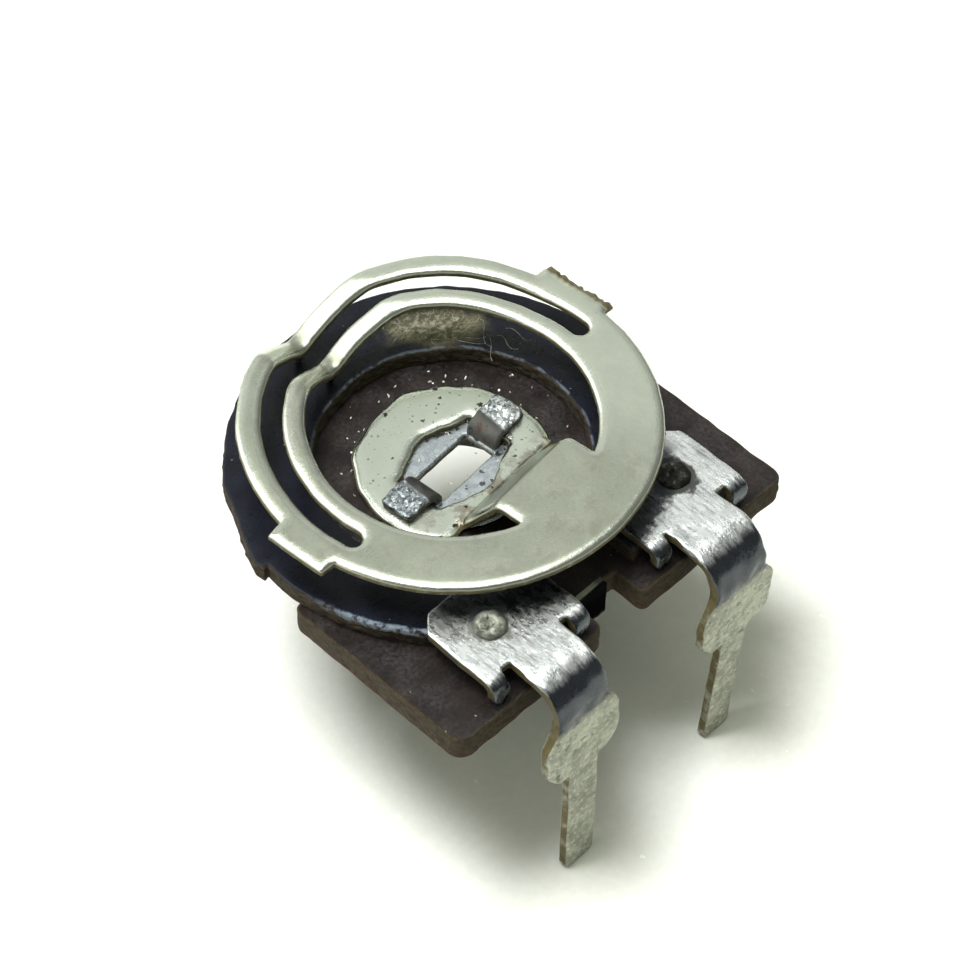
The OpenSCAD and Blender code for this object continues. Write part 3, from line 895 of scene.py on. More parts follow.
@dataclass(frozen=True)
class TinnedSteel(Finish):
    """Hot-tinned terminal sheet: bright frozen crystals on the pad, dull flux-stained tin on the leg."""

    bright: Colour = (0.92, 0.95, 0.92)
    grey: Colour = (0.8, 0.85, 0.84)
    painted_reflection_band: Colour = (0.085, 0.095, 0.105)
    dull: Colour = (0.41, 0.425, 0.345)
    foot: Colour = (0.16, 0.16, 0.12)
    light_grain: Colour = (0.72, 0.74, 0.64)
    dark_grain: Colour = (0.2, 0.2, 0.15)
    sheared: Colour = (0.075, 0.062, 0.028)
    pit: Colour = (0.09, 0.09, 0.07)
    flux: Colour = (0.045, 0.047, 0.042)
    dark_under_ring: Colour = (0.026, 0.03, 0.04)
    band_metal: float = 1.0
    bare_from: float = -50.0
    band_top: float = 0.6
    claw_top: float = 0.7
    claw_from_y: float = -5.72
    band_ragged: float = 0.3
    dull_from: float = -0.42
    dull_to: float = -0.72
    foot_from: float = -2.2
    pad_low: float = 0.3
    ring_shade_reach: float = 5.05
    rivet_x: float = 2.98
    rivet_y: float = -4.18

    def shade(self, graph: Graph, place: Socket) -> Inputs:
        """Crystals above, mottled dullness below, a dark ring of flux round each rivet."""
        y, z = graph.parts(place)[1:3]
        drawn = graph.stretched(place, (1.5, 0.75, 1.0))
        crystal = CRYSTALS.use(graph, drawn, Scale=7.0)
        small = CRYSTALS.use(graph, drawn, Scale=19.0)
        cloud = graph.noise(place, 2.4, 5.0, 0.65)
        shade = graph.plus(graph.times(crystal["Shade"], 0.55), graph.times(cloud, 0.9))
        tone = graph.mix(graph.ramp(shade, 0.38, 0.72), self.grey, self.bright)
        # Painted reflection: the bends and the claws' fronts darkened, darker still lower down.
        bend = self._bend(graph, place)
        painted_reflection_band = graph.mix(graph.ramp(z, 0.25, -0.3), self.painted_reflection_band, shaded(self.painted_reflection_band, 0.42))
        tone = graph.mix(bend, tone, painted_reflection_band)
        low = graph.ramp(graph.jitter(z, cloud, 0.55), self.dull_from, self.dull_to)
        pits = SPECKS.use(graph, place, Scale=3.4, Share=0.5, Size=0.26)["Mask"]
        tone = self._dulled(graph, place, tone, low, cloud, pits)
        flux = self._flux(graph, place, cloud)
        on_right = graph.ramp(graph.parts(place)[0], -1.0, 1.0, 0.8, 0.97)
        tone = graph.laid(tone, self.flux, flux, on_right)
        # Painted shade: the pads darkened where the ring hangs over them.
        tone = graph.laid(tone, self.dark_under_ring, self._ring_shade(graph, place), 0.92)
        edge_tone = graph.mix(graph.noise(place, 7.0), self.sheared, shaded(self.sheared, 2.0))
        bare = graph.times(graph.attribute("cut"), graph.ramp(graph.noise(place, 2.6), 0.3, 0.55, 0.35, 1.0))
        bare = graph.times(bare, graph.ramp(y, self.bare_from - 0.03, self.bare_from + 0.02))
        tone = graph.mix(bare, tone, edge_tone)
        worn = graph.larger(graph.larger(low, bare), flux)
        rough = graph.blend(worn, graph.ramp(crystal["Shade"], 0.0, 1.0, 0.2, 0.34), 0.66)
        height = graph.plus(graph.times(crystal["Height"], 0.2), graph.times(small["Height"], 0.3))
        height = graph.plus(height, graph.times(graph.noise(drawn, 10.0, 3.0, 0.6), 0.9))
        normal = graph.bump(graph.times(height, graph.less(1.0, graph.times(bend, 0.85))), 0.03, 0.42)
        lumps = graph.less(graph.noise(place, 6.0, 4.0, 0.6), graph.times(graph.times(pits, low), 0.4))
        lumps = graph.plus(lumps, graph.times(graph.noise(place, 2.6, 2.0), low))
        normal = graph.bump(lumps, 0.045, graph.blend(low, 0.2, 0.85), normal)
        banded = graph.times(bend, graph.less(1.0, low))
        metal = graph.times(graph.blend(worn, 1.0, 0.55), graph.blend(banded, 1.0, self.band_metal))
        return {"Base Color": tone, "Metallic": metal, "Roughness": rough, "Normal": normal}

    def _bend(self, graph: Graph, place: Socket) -> Socket:
        """Where a painted reflection of the dark below darkens the sheet: from a ragged line near the top of
        a bend down.
        """
        y, z = graph.parts(place)[1:3]
        streaks = graph.noise(graph.stretched(place, (9.0, 1.3, 1.3)), 1.0, 4.0, 0.7)
        on_claw = graph.ramp(y, self.claw_from_y, self.claw_from_y + 0.12)
        top = graph.blend(on_claw, self.band_top, self.claw_top)
        return graph.ramp(graph.less(graph.jitter(z, streaks, self.band_ragged), top), 0.08, -0.06)

    def _dulled(self, graph: Graph, place: Socket, tone: Socket, low: Socket, cloud: Socket,
                pits: Socket) -> Socket:
        """The tone with mottled, grainy and pitted dullness laid over its low part.

        Args:
            graph: the material's graph.
            place: object coordinates in millimetres.
            tone: the tone so far.
            low: where the sheet is dull.
            cloud: noise that mottles the dullness.
            pits: where the pits are.

        Returns:
            The new tone.
        """
        mottle = graph.mix(graph.ramp(cloud, 0.35, 0.65), shaded(self.dull, 0.74), shaded(self.dull, 1.25))
        foot = graph.ramp(graph.parts(place)[2], self.foot_from, self.foot_from - 1.0, 0.0, 0.22)
        tone = graph.mix(low, tone, graph.mix(foot, mottle, self.foot))
        tone = graph.laid(tone, self.pit, pits, graph.blend(low, 0.12, 0.6))
        grains = graph.noise(place, 8.0, 3.0, 0.7)
        tone = graph.laid(tone, self.light_grain, low, graph.ramp(grains, 0.54, 0.64, 0.0, 0.55))
        return graph.laid(tone, self.dark_grain, low, graph.ramp(grains, 0.44, 0.36, 0.0, 0.45))

    def _flux(self, graph: Graph, place: Socket, cloud: Socket) -> Socket:
        """Where dark flux lies round a rivet on the pad, wider on the right one."""
        x, y, z = graph.parts(place)
        mirrored = graph.plan(graph.math("ABSOLUTE", x), y)
        distance = graph.length(graph.vector("SUBTRACT", mirrored, (self.rivet_x, self.rivet_y, 0.0)))
        uneven = graph.less(graph.jitter(distance, cloud, 0.9), graph.ramp(x, -1.0, 1.0, 0.0, 0.05))
        return graph.times(graph.ramp(uneven, 0.62, 0.44), graph.ramp(z, self.pad_low, self.pad_low + 0.2))

    def _ring_shade(self, graph: Graph, place: Socket) -> Socket:
        """Where painted shade darkens the pad under the ring, further out on the right one."""
        x, y, z = graph.parts(place)
        across = graph.math("ABSOLUTE", x)
        reach = graph.jitter(graph.length(graph.plan(across, y)), graph.noise(place, 3.2, 5.0, 0.7), 0.9)
        reach = graph.less(reach, graph.ramp(x, -1.0, 1.0, 0.0, 0.22))
        mask = graph.ramp(reach, self.ring_shade_reach, self.ring_shade_reach - 0.25)
        mask = graph.times(mask, graph.ramp(across, 3.85, 3.3))
        return graph.times(mask, graph.ramp(z, self.pad_low, self.pad_low + 0.2))


@dataclass(frozen=True)
class TinnedBush(Finish):
    """Drawn bush: blue-grey specked cap, coarse bright crystals where the tabs are folded over."""

    cap: Colour = (0.55, 0.6, 0.62)
    crest: Colour = (0.86, 0.9, 0.9)
    crest_dark: Colour = (0.22, 0.25, 0.255)
    left_tab_shade: Colour = (0.22, 0.27, 0.29)
    inner: Colour = (0.12, 0.12, 0.11)
    speck: Colour = (0.015, 0.015, 0.02)
    rust: Colour = (0.12, 0.05, 0.025)
    crest_height: float = 0.36
    crest_from: float = 1.32

    def shade(self, graph: Graph, place: Socket) -> Inputs:
        """Cap, tabs and bore told apart by height."""
        x, _, z = graph.parts(place)
        crystal = CRYSTALS.use(graph, place, Scale=7.0)
        small = CRYSTALS.use(graph, place, Scale=15.0)
        on_crest = graph.times(graph.ramp(z, self.crest_height - 0.04, self.crest_height + 0.03),
                               graph.ramp(graph.math("ABSOLUTE", x), self.crest_from, self.crest_from + 0.1))
        bore_shade = graph.times(graph.ramp(z, 0.34, 0.22), graph.ramp(z, -0.14, 0.03, 1.0, 0.0))
        rising = graph.times(graph.ramp(z, 0.01, 0.06), graph.less(1.0, on_crest))
        sides = graph.times(graph.attribute("cut"), graph.ramp(z, 0.01, 0.06))
        cloud = graph.noise(place, 3.0, 4.0, 0.6)
        tone = graph.mix(graph.ramp(cloud, 0.3, 0.7), self.cap, shaded(self.cap, 1.25))
        bright = graph.mix(graph.ramp(small["Shade"], 0.1, 0.8), self.crest_dark, self.crest)
        # Painted shade: the left tab's crest darker than the right one's.
        bright = graph.mix(graph.ramp(x, -0.6, -0.9, 0.0, 0.55), bright, self.left_tab_shade)
        tone = graph.mix(on_crest, tone, bright)
        # Painted shade: the bore, the tabs' rising walls and their cut sides take the dark inner tone.
        tone = graph.mix(graph.larger(graph.larger(bore_shade, rising), sides), tone, self.inner)
        specks = SPECKS.use(graph, place, Scale=3.6, Share=0.55, Size=0.3)["Mask"]
        specks = graph.times(specks, graph.blend(on_crest, 0.95, 0.15))
        tone = graph.mix(specks, tone, self.speck)
        rusty = graph.times(PATCHES.use(graph, place, Scale=3.2, Level=0.62, Softness=0.05)["Mask"], rising)
        tone = graph.laid(tone, self.rust, rusty, 0.6)
        rough = graph.ramp(crystal["Shade"], 0.0, 1.0, 0.16, 0.42)
        rough = graph.blend(graph.larger(specks, rising), rough, 0.6)
        height = graph.plus(crystal["Height"], graph.times(small["Height"], 0.6))
        normal = graph.bump(graph.times(height, on_crest), 0.07, 0.9)
        normal = graph.bump(graph.noise(place, 9.0, 4.0), 0.02, 0.5, normal)
        metal = graph.blend(specks, 1.0, 0.1)
        return {"Base Color": tone, "Metallic": metal, "Roughness": rough, "Normal": normal}


@dataclass(frozen=True)
class RivetMetal(Finish):
    """Soft rivet head, dull olive grey and grainy."""

    face: Colour = (0.72, 0.75, 0.64)
    dirt: Colour = (0.13, 0.14, 0.11)
    dark_under_ring: Colour = (0.014, 0.014, 0.012)
    centre_x: float = 2.98
    centre_y: float = -4.18
    clean_radius: float = 0.27

    def shade(self, graph: Graph, place: Socket) -> Inputs:
        """Grainy head that is dark in its hollows, and darker on the right one."""
        x, y, _ = graph.parts(place)
        cloud = graph.noise(place, 5.0, 5.0, 0.7)
        tone = graph.mix(graph.ramp(cloud, 0.35, 0.62), self.dirt, self.face)
        pits = SPECKS.use(graph, place, Scale=9.0, Share=0.5, Size=0.34)["Mask"]
        tone = graph.laid(tone, self.dirt, pits, 0.7)
        mirrored = graph.plan(graph.math("ABSOLUTE", x), y)
        distance = graph.length(graph.vector("SUBTRACT", mirrored, (self.centre_x, self.centre_y, 0.0)))
        round_rim = graph.ramp(graph.jitter(distance, cloud, 0.3), self.clean_radius, self.clean_radius + 0.1)
        tone = graph.laid(tone, self.dirt, round_rim, 0.75)
        # The right rivet darker, under the ring's edge.
        tone = graph.laid(tone, self.dark_under_ring, graph.ramp(x, 0.0, 0.5), graph.ramp(cloud, 0.7, 0.5, 0.72, 0.96))
        return {"Base Color": tone, "Metallic": graph.blend(pits, 0.9, 0.3),
                "Roughness": graph.ramp(cloud, 0.3, 0.7, 0.6, 0.38),
                "Normal": graph.bump(graph.noise(place, 12.0, 4.0, 0.7), 0.05, 0.8)}


@dataclass(frozen=True)
class PhenolicBoard(Finish):
    """Paper laminate: purple-brown skin, sawn olive-brown edges, light dust in its pores."""

    ior: float = 1.33
    skin: Colour = (0.0022, 0.0016, 0.0016)
    skin_warm: Colour = (0.0105, 0.0066, 0.0057)
    skin_pores: Colour = (0.026, 0.022, 0.021)
    haze: Colour = (0.054, 0.048, 0.05)
    sawn: Colour = (0.062, 0.049, 0.025)
    sawn_dark: Colour = (0.026, 0.015, 0.008)
    rust: Colour = (0.075, 0.02, 0.008)
    scuff: Colour = (0.3, 0.29, 0.26)
    foot: float = -0.72

    def shade(self, graph: Graph, place: Socket) -> Inputs:
        """Mottled skin; edges with layered fibres."""
        cloud = graph.noise(place, 1.3, 5.0, 0.62)
        fine = graph.noise(place, 11.0, 4.0, 0.65)
        fibre = graph.noise(graph.stretched(place, (3.2, 3.2, 7.0)), 1.9, 6.0, 0.75)
        skin = graph.mix(graph.ramp(cloud, 0.3, 0.7), self.skin, self.skin_warm)
        skin = graph.mix(graph.ramp(fine, 0.4, 0.8, 0.0, 0.45), skin, self.skin_pores)
        hazy = PATCHES.use(graph, place, Scale=1.1, Level=0.53, Softness=0.14)["Mask"]
        skin = graph.laid(skin, self.haze, hazy, graph.ramp(fine, 0.3, 0.65, 0.0, 0.45))
        sawn = graph.mix(graph.ramp(fibre, 0.3, 0.7), self.sawn_dark, self.sawn)
        low = graph.ramp(graph.parts(place)[2], self.foot + 0.17, self.foot)
        sawn = graph.laid(sawn, self.rust, low, 0.6)
        near = graph.ramp(graph.jitter(graph.attribute("rim"), fine, 0.12), 0.07, 0.02)
        side = graph.larger(graph.attribute("cut"), graph.times(near, 0.75))
        tone = graph.mix(side, skin, sawn)
        dust = SPECKS.use(graph, place, Scale=5.5, Share=0.16, Size=0.12)["Mask"]
        tone = graph.laid(tone, self.scuff, dust, 0.7)
        drawn = graph.stretched(place, (0.5, 9.0, 3.0), 0.9)
        scratch = graph.ramp(graph.noise(drawn, 1.0, 2.0), 0.7, 0.78)
        scratch = graph.times(scratch, graph.ramp(cloud, 0.5, 0.6))
        tone = graph.laid(tone, self.scuff, scratch, 0.35)
        rough = graph.blend(side, graph.ramp(fine, 0.3, 0.7, 0.42, 0.6), 0.85)
        normal = graph.bump(fine, 0.02, 0.5)
        normal = graph.bump(graph.times(fibre, side), 0.06, 0.8, normal)
        return {"Base Color": tone, "Roughness": rough, "Normal": normal}


@dataclass(frozen=True)
class CarbonTrack(Finish):
    """Blue-black carbon face on a brown laminate body, scuffed pale along its front edge, with a painted
    highlight there.
    """

    face: Colour = (0.0035, 0.0042, 0.008)
    face_light: Colour = (0.0065, 0.0078, 0.014)
    body: Colour = (0.062, 0.047, 0.027)
    body_dark: Colour = (0.016, 0.01, 0.007)
    scuff: Colour = (0.2, 0.245, 0.3)
    grease: Colour = (0.23, 0.22, 0.14)
    dust: Colour = (0.3, 0.3, 0.28)
    thickness: float = 0.5
    centre_y: float = 0.15
    outer: float = 5.2
    inner: float = 3.27
    grease_at: Point = (2.37, 3.25, 0.5)

    def shade(self, graph: Graph, place: Socket) -> Inputs:
        """Carbon on top, laminate on the sides, wear where fingers and the contacts touch, a painted
        highlight in front.
        """
        fine = graph.noise(place, 12.0, 4.0, 0.65)
        cloud = graph.noise(place, 1.6, 5.0, 0.62)
        fibre = graph.noise(graph.stretched(place, (1.5, 1.5, 7.0)), 2.6, 5.0, 0.7)
        face = graph.mix(graph.ramp(cloud, 0.35, 0.7), self.face, self.face_light)
        body = graph.mix(graph.ramp(fibre, 0.36, 0.62), self.body_dark, self.body)
        rim = graph.jitter(graph.attribute("rim"), fine, 0.1)
        side = graph.larger(graph.attribute("cut"), graph.ramp(rim, 0.035, 0.0))
        front_wear_and_highlight, inner_worn = self._worn(graph, place, rim)
        greasy = graph.times(self._greasy(graph, place, cloud), graph.ramp(fine, 0.3, 0.6, 0.35, 1.0))
        tone = graph.laid(face, self.scuff, inner_worn, 0.35)
        tone = graph.laid(tone, body, side, 0.9)
        # Wear and painted highlight: a pale line along the outer top edge, on the front side only.
        tone = graph.laid(tone, self.scuff, front_wear_and_highlight, 0.8)
        tone = graph.laid(tone, self.grease, greasy, 0.85)
        dust = SPECKS.use(graph, place, Scale=6.0, Share=0.14, Size=0.12)["Mask"]
        tone = graph.laid(tone, self.dust, dust, 0.6)
        rough = graph.blend(graph.larger(side, greasy), graph.ramp(fine, 0.3, 0.7, 0.26, 0.4), 0.85)
        normal = graph.bump(fine, 0.012, 0.5)
        normal = graph.bump(graph.times(fibre, side), 0.05, 0.8, normal)
        normal = graph.bump(graph.times(graph.noise(place, 14.0), greasy), 0.06, 0.7, normal)
        return {"Base Color": tone, "Roughness": rough, "Normal": normal}

    def _worn(self, graph: Graph, place: Socket, rim: Socket) -> tuple[Socket, Socket]:
        """Finds the wear along the edges, and a painted highlight along the front's outer edge.

        Args:
            graph: the material's graph.
            place: object coordinates in millimetres.
            rim: distance from the edge.

        Returns:
            Where the front's outer edge is worn and has a painted highlight, and where the inner edge is
            worn.
        """
        x, y, z = graph.parts(graph.vector("SUBTRACT", place, (0.0, self.centre_y, 0.0)))
        radius = graph.length(graph.plan(x, y))
        front = graph.times(graph.ramp(y, -0.6, -2.2), graph.ramp(x, 1.0, -1.4))
        near_outer = graph.times(graph.ramp(radius, self.outer - 0.22, self.outer - 0.12),
                                 graph.ramp(rim, 0.13, 0.06))
        patchy = PATCHES.use(graph, place, Scale=4.5, Level=0.46, Softness=0.08)["Mask"]
        worn = graph.times(graph.times(front, near_outer), patchy)
        worn = graph.times(worn, graph.ramp(z, self.thickness - 0.2, self.thickness - 0.12))
        near_inner = graph.times(graph.ramp(radius, self.inner + 0.16, self.inner + 0.07),
                                 graph.ramp(rim, 0.1, 0.04))
        patchy = PATCHES.use(graph, place, Scale=3.0, Level=0.5, Softness=0.05)["Mask"]
        return worn, graph.times(near_inner, patchy)

    def _greasy(self, graph: Graph, place: Socket, cloud: Socket) -> Socket:
        """Where a long smear of dried grease lies beside the contacts."""
        inputs = {"Vector": place, "Location": self.grease_at}
        away = graph.add("ShaderNodeMapping", inputs, vector_type="TEXTURE").outputs[0]
        inputs = {"Vector": away, "Angle": math.radians(45)}
        turned = graph.add("ShaderNodeVectorRotate", inputs, rotation_type="Z_AXIS").outputs[0]
        distance = graph.length(graph.vector("MULTIPLY", turned, (0.75, 1.6, 1.0)))
        return graph.ramp(graph.jitter(distance, cloud, 1.3), 1.25, 0.55)


@dataclass(frozen=True)
class Fluff(Finish):
    """House dust and lint: matt, a little uneven in tone."""

    light: Colour = (0.62, 0.6, 0.5)
    dark: Colour = (0.3, 0.28, 0.2)

    def shade(self, graph: Graph, place: Socket) -> Inputs:
        """Two tones of dust, mixed by noise."""
        tone = graph.mix(graph.ramp(graph.noise(place, 7.0), 0.4, 0.6), self.dark, self.light)
        rough = graph.ramp(graph.noise(place, 20.0), 0.3, 0.7, 0.75, 0.95)
        return {"Base Color": tone, "Roughness": rough}


@dataclass(frozen=True)
class PaperFloor(Finish):
    """White paper with a faint unevenness."""

    light: Colour = (0.86, 0.87, 0.845)
    mottle: Colour = (0.6, 0.62, 0.56)
    fibre: Colour = (0.98, 0.98, 0.98)

    def shade(self, graph: Graph, place: Socket) -> Inputs:
        """Plain paper, mottled by a few hundredths."""
        cloud = graph.noise(place, 0.5, 4.0, 0.6)
        tone = graph.mix(graph.ramp(cloud, 0.3, 0.7), shaded(self.light, 0.95), self.light)
        mottled = graph.ramp(graph.noise(place, 4.5, 4.0, 0.7), 0.35, 0.65, 0.0, 0.12)
        tone = graph.mix(mottled, tone, self.mottle)
        fibres = SPECKS.use(graph, place, Scale=3.0, Share=0.16, Size=0.16)["Mask"]
        tone = graph.mix(fibres, tone, self.fibre)
        return {"Base Color": tone, "Roughness": graph.ramp(cloud, 0.3, 0.7, 0.72, 0.8),
                "Normal": graph.bump(graph.noise(place, 6.0), 0.02, 0.3)}


# ---- pieces


def set_out(name: str, data: bpy.types.ID) -> bpy.types.Object:
    """A new object in the scene, at the origin."""
    made = bpy.data.objects.new(name, data)
    bpy.context.scene.collection.objects.link(made)
    return made


def hand_over(mesh: bpy.types.Mesh, finish: Finish, body: Body,
              replaces: Sequence[str] = ()) -> bpy.types.Object:
    """Makes a finished piece of a mesh, gives it its material and body, and hides the CAD nodes that it
    stands for.

    Args:
        mesh: the finished mesh, in the part's frame.
        finish: its material.
        body: the body that it rides on.
        replaces: the CAD nodes that it stands for.

    Returns:
        The piece.
    """
    piece = set_out(mesh.name, mesh)
    if not mesh.materials:
        mesh.materials.append(finish.material())
    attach(piece, body.value)
    if replaces:
        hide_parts(*replaces)
    mesh.calc_loop_triangles()
    LOG.info("%s: %d triangles, on %s", piece.name, len(mesh.loop_triangles), body.value)
    return piece


@dataclass
class BasePlate:
    """The laminate plate that carries the element, the terminals and the bush."""

    width: float = 10.6
    thickness: float = 0.75
    front: float = 5.63
    square_back: float = 0.35
    round_radius: float = 4.7
    round_shift: float = 0.15
    corner: float = 0.5
    right_corner: float = 0.34
    back_corner: float = 0.25
    notch_x: float = -0.17
    notch_width: float = 1.3
    notch_depth: float = 0.93
    notch_corner: float = 0.25
    bore: float = 1.88
    left_reach: float = 0.12
    finish: Finish = PhenolicBoard("phenolic_board", ior=1.38)

    def outline(self) -> Outline:
        """The plate's outline, anticlockwise from its front right corner."""
        half = self.width / 2
        drop = self.square_back + self.round_shift
        join = math.degrees(math.asin(drop / self.round_radius))
        meet = math.sqrt(self.round_radius ** 2 - drop ** 2)
        left, right = self.notch_x - self.notch_width / 2, self.notch_x + self.notch_width / 2
        inner = -self.front + self.notch_depth
        corners = [(half, -self.front, self.right_corner), (half, -self.square_back, self.back_corner),
                   (meet + 0.02, -self.square_back, 0.02)]
        corners += arc(self.round_radius, -join, 180 + join, (0, self.round_shift))
        corners += [(-meet - 0.02, -self.square_back, 0.02),
                    (-half - self.left_reach, -self.square_back, self.back_corner),
                    (-half, -self.front, self.corner), (left, -self.front, self.notch_corner),
                    (left, inner, 0.06), (right, inner, 0.06), (right, -self.front, self.notch_corner)]
        return Outline.cornered(corners).roughened(0.008, 0.25, 11)

    def build(self) -> None:
        """Saws the plate and hands it over."""
        bore = Outline.circle(self.bore).roughened(0.006, 0.2, 12)
        sheet = Sheet(self.outline(), [bore], self.thickness, grid=0.22, roll_width=0.07, roll_depth=0.045,
                      burr=0.05, tear=0.01, seed=13, wall_rows=7)
        shell = sheet.shell().mapped(lambda p: p - [0, 0, self.thickness])
        hand_over(shell.mesh("base_plate_laminate"), self.finish, Body.FRAME, ["base_plate"])


@dataclass
class ResistanceElement:
    """The carbon-faced horseshoe that the contact arms run on."""

    radius: float = 5.2
    inner: float = 3.27
    thickness: float = 0.5
    shift: float = 0.15
    gap: float = 1.9
    nib_low: float = 0.6
    nib_high: float = 1.1
    nib_out: float = 0.1
    finish: Finish = CarbonTrack("carbon_track", ior=1.33)

    def outline(self) -> Outline:
        """The horseshoe's outline, anticlockwise from its right end."""
        half, centre, hole = self.gap / 2, (-0.06, self.shift + 0.06), (-0.03, self.shift - 0.13)
        reach = self.radius + self.nib_out - 0.04
        end_out = math.degrees(math.asin(half / self.radius))
        end_in = math.degrees(math.asin(half / self.inner))
        low = math.degrees(math.asin((self.nib_low - self.shift) / self.radius))
        high = math.degrees(math.asin((self.nib_high - self.shift) / self.radius))
        corners = arc(self.radius, -90 + end_out, low, centre)
        corners += [(reach, self.nib_low, 0.05), (reach, self.nib_high, 0.05)]
        corners += arc(self.radius, high, 180 - high - 12, centre)
        corners += [(-reach - 0.16, self.nib_high - 0.2, 0.05), (-reach - 0.12, self.nib_low, 0.05)]
        corners += arc(self.radius, 180 - low, 270 - end_out, centre)
        corners += arc(self.inner, 270 - end_in, -90 + end_in, hole)
        return Outline.cornered(corners).roughened(0.012, 0.3, 21)

    def build(self) -> None:
        """Punches the horseshoe and hands it over."""
        sheet = Sheet(self.outline(), [], self.thickness, grid=0.2, roll_width=0.09, roll_depth=0.06,
                      tear=0.014, seed=22, wall_rows=6)
        mesh = sheet.shell().mesh("carbon_horseshoe")
        hand_over(mesh, self.finish, Body.FRAME, ["resistance_element"])


@dataclass
class EndTerminal:
    """A tinned end terminal: a pad with two claws, and a leg that bends down over the plate's edge."""

    side: Side
    sheet: float = 0.26
    low: float = 0.5
    pad_inner: float = 1.08
    pad_outer: float = 4.12
    pad_back: float = 2.95
    claw_start: float = 5.13
    claw_width: float = 0.5
    claw_inner_bend: float = 0.1
    claw_tip: float = 0.26
    claw_taper: float = 0.17
    chamfer: float = 0.42
    middle: float = 2.5
    strip: float = 1.68
    leg_start: float = 5.85
    leg_inner_bend: float = 0.74
    shoulder: float = 2.3
    neck_rise: float = 0.62
    shoulder_top: float = -1.0
    shoulder_end: float = -1.95
    seat: float = -2.4
    seat_reach: float = 0.82
    pin: float = 0.86
    tip: float = -6.25
    tip_corner: float = 0.12
    lean: float = 0.0
    shift: float = 0.0
    strip_cut: float = 0.0
    splay: float = 0.0
    finish: Finish = TinnedSteel("tinned_terminal")

    def _bend_lengths(self) -> Pair:
        """Lengths of the leg's and a claw's bend along the middle of the sheet."""
        half = self.sheet / 2
        return quarter_turn(self.leg_inner_bend + half), quarter_turn(self.claw_inner_bend + half)

    def _on_leg(self, height: float) -> float:
        """Where a height on the leg lies in the flat blank, as y."""
        turn = self.low - self.leg_inner_bend
        return -(self.leg_start + self._bend_lengths()[0] + turn - height)

    def outline(self) -> Outline:
        """The flat blank's outline, anticlockwise from the pad's inner back corner."""
        mid, half = self.middle, self.strip / 2
        leg = mid + self.shift
        claw_end = -(self.claw_start + self._bend_lengths()[1] + self.low - self.claw_inner_bend)
        taper = claw_end + self.claw_tip

        def claw(left: float) -> list[Corner]:
            """A claw's tapered end."""
            right = left + self.claw_width
            return [(left, taper, 0.05), (left + self.claw_taper, claw_end, 0.05),
                    (right - self.claw_taper, claw_end, 0.05), (right, taper, 0.05)]

        shoulder, seat, pin = self.shoulder / 2, self.seat_reach, self.pin / 2
        neck_y = self._on_leg(self.shoulder_top + self.neck_rise)
        top_y, end_y, seat_y = (self._on_leg(z) for z in (self.shoulder_top, self.shoulder_end, self.seat))
        tip_y = self._on_leg(self.tip)
        c, s = math.cos(math.radians(self.lean)), math.sin(math.radians(self.lean))

        def leant(x: float, y: float, radius: float) -> Corner:
            """A corner of the pin, which leans about its seat."""
            dx, dy = x - leg, y - seat_y
            return (leg + dx * c - dy * s, seat_y + dx * s + dy * c, radius)

        front = -self.claw_start - 0.03
        inside = mid - half + self.strip_cut
        corners = [(self.pad_inner + 0.15, -self.pad_back, 0.06),
                   (self.pad_inner, -self.pad_back - 0.15, 0.06)]
        corners += claw(self.pad_inner)
        corners += [(self.pad_inner + self.claw_width, front, 0.03), (inside, front, 0.03),
                    (inside, neck_y, 0.3), (leg - shoulder, top_y, 0.42), (leg - shoulder, end_y, 0.38),
                    (leg - seat, seat_y, 0.22), (leg - pin, seat_y, 0.08)]
        corner = self.tip_corner
        corners += [leant(leg - pin, tip_y + corner, 0.04), leant(leg - pin + corner, tip_y, 0.05),
                    leant(leg + pin - corner, tip_y, 0.05), leant(leg + pin, tip_y + corner, 0.04)]
        corners += [(leg + pin, seat_y, 0.08), (leg + seat, seat_y, 0.22), (leg + shoulder, end_y, 0.38),
                    (leg + shoulder, top_y, 0.42), (mid + half, neck_y, 0.3), (mid + half, front, 0.03),
                    (self.pad_outer - self.claw_width, front, 0.03)]
        corners += claw(self.pad_outer - self.claw_width)
        corners += [(self.pad_outer, -self.pad_back - self.chamfer, 0.15),
                    (self.pad_outer - self.chamfer, -self.pad_back, 0.15)]
        return Outline.cornered(corners, 0.055).roughened(0.01, 0.35, 31 + self.side.value)

    def bent(self, points: Array) -> Array:
        """Bends the flat blank: claws and leg go down, the pad stays flat.

        Args:
            points: points of the blank.

        Returns:
            The same points on the bent terminal.
        """
        x, along, up = points[:, 0], -points[:, 1], points[:, 2]
        claws = (x < self.middle - self.strip / 2 - 0.04) | (x > self.middle + self.strip / 2 + 0.14)
        claws &= along < self._on_leg(0) * -1 - 0.6
        start = np.where(claws, self.claw_start, self.leg_start)
        inner = np.where(claws, self.claw_inner_bend, self.leg_inner_bend)
        leg_length, claw_length = self._bend_lengths()
        length = np.where(claws, claw_length, leg_length)
        past = along - start
        angle = np.clip(past / length, 0, 1) * math.pi / 2
        radius = inner + up
        straight = np.clip(past - length, 0, None)
        flat = np.minimum(along, start)
        splay = straight * math.tan(math.radians(self.splay))
        y = -(flat + np.where(past > 0, radius * np.sin(angle), 0) + splay)
        z = self.low + np.where(past > 0, -inner + radius * np.cos(angle), up) - straight
        return np.column_stack([x, y, z])

    def build(self) -> None:
        """Stamps, bends and tins the terminal and hands it over."""
        blank = Sheet(self.outline(), [], self.sheet, roll_width=0.09, roll_depth=0.05, burr=0.03,
                      tear=0.008, seed=33 + self.side.value)

        def lumpy(p: Array) -> Array:
            """The leg's share of the solder's lumps: full down to the seat, a quarter on the pin."""
            return np.clip((p[:, 1] + 5.2) / -0.25, 0, 1) * np.clip((p[:, 2] + 2.7) / 0.3, 0.25, 1)

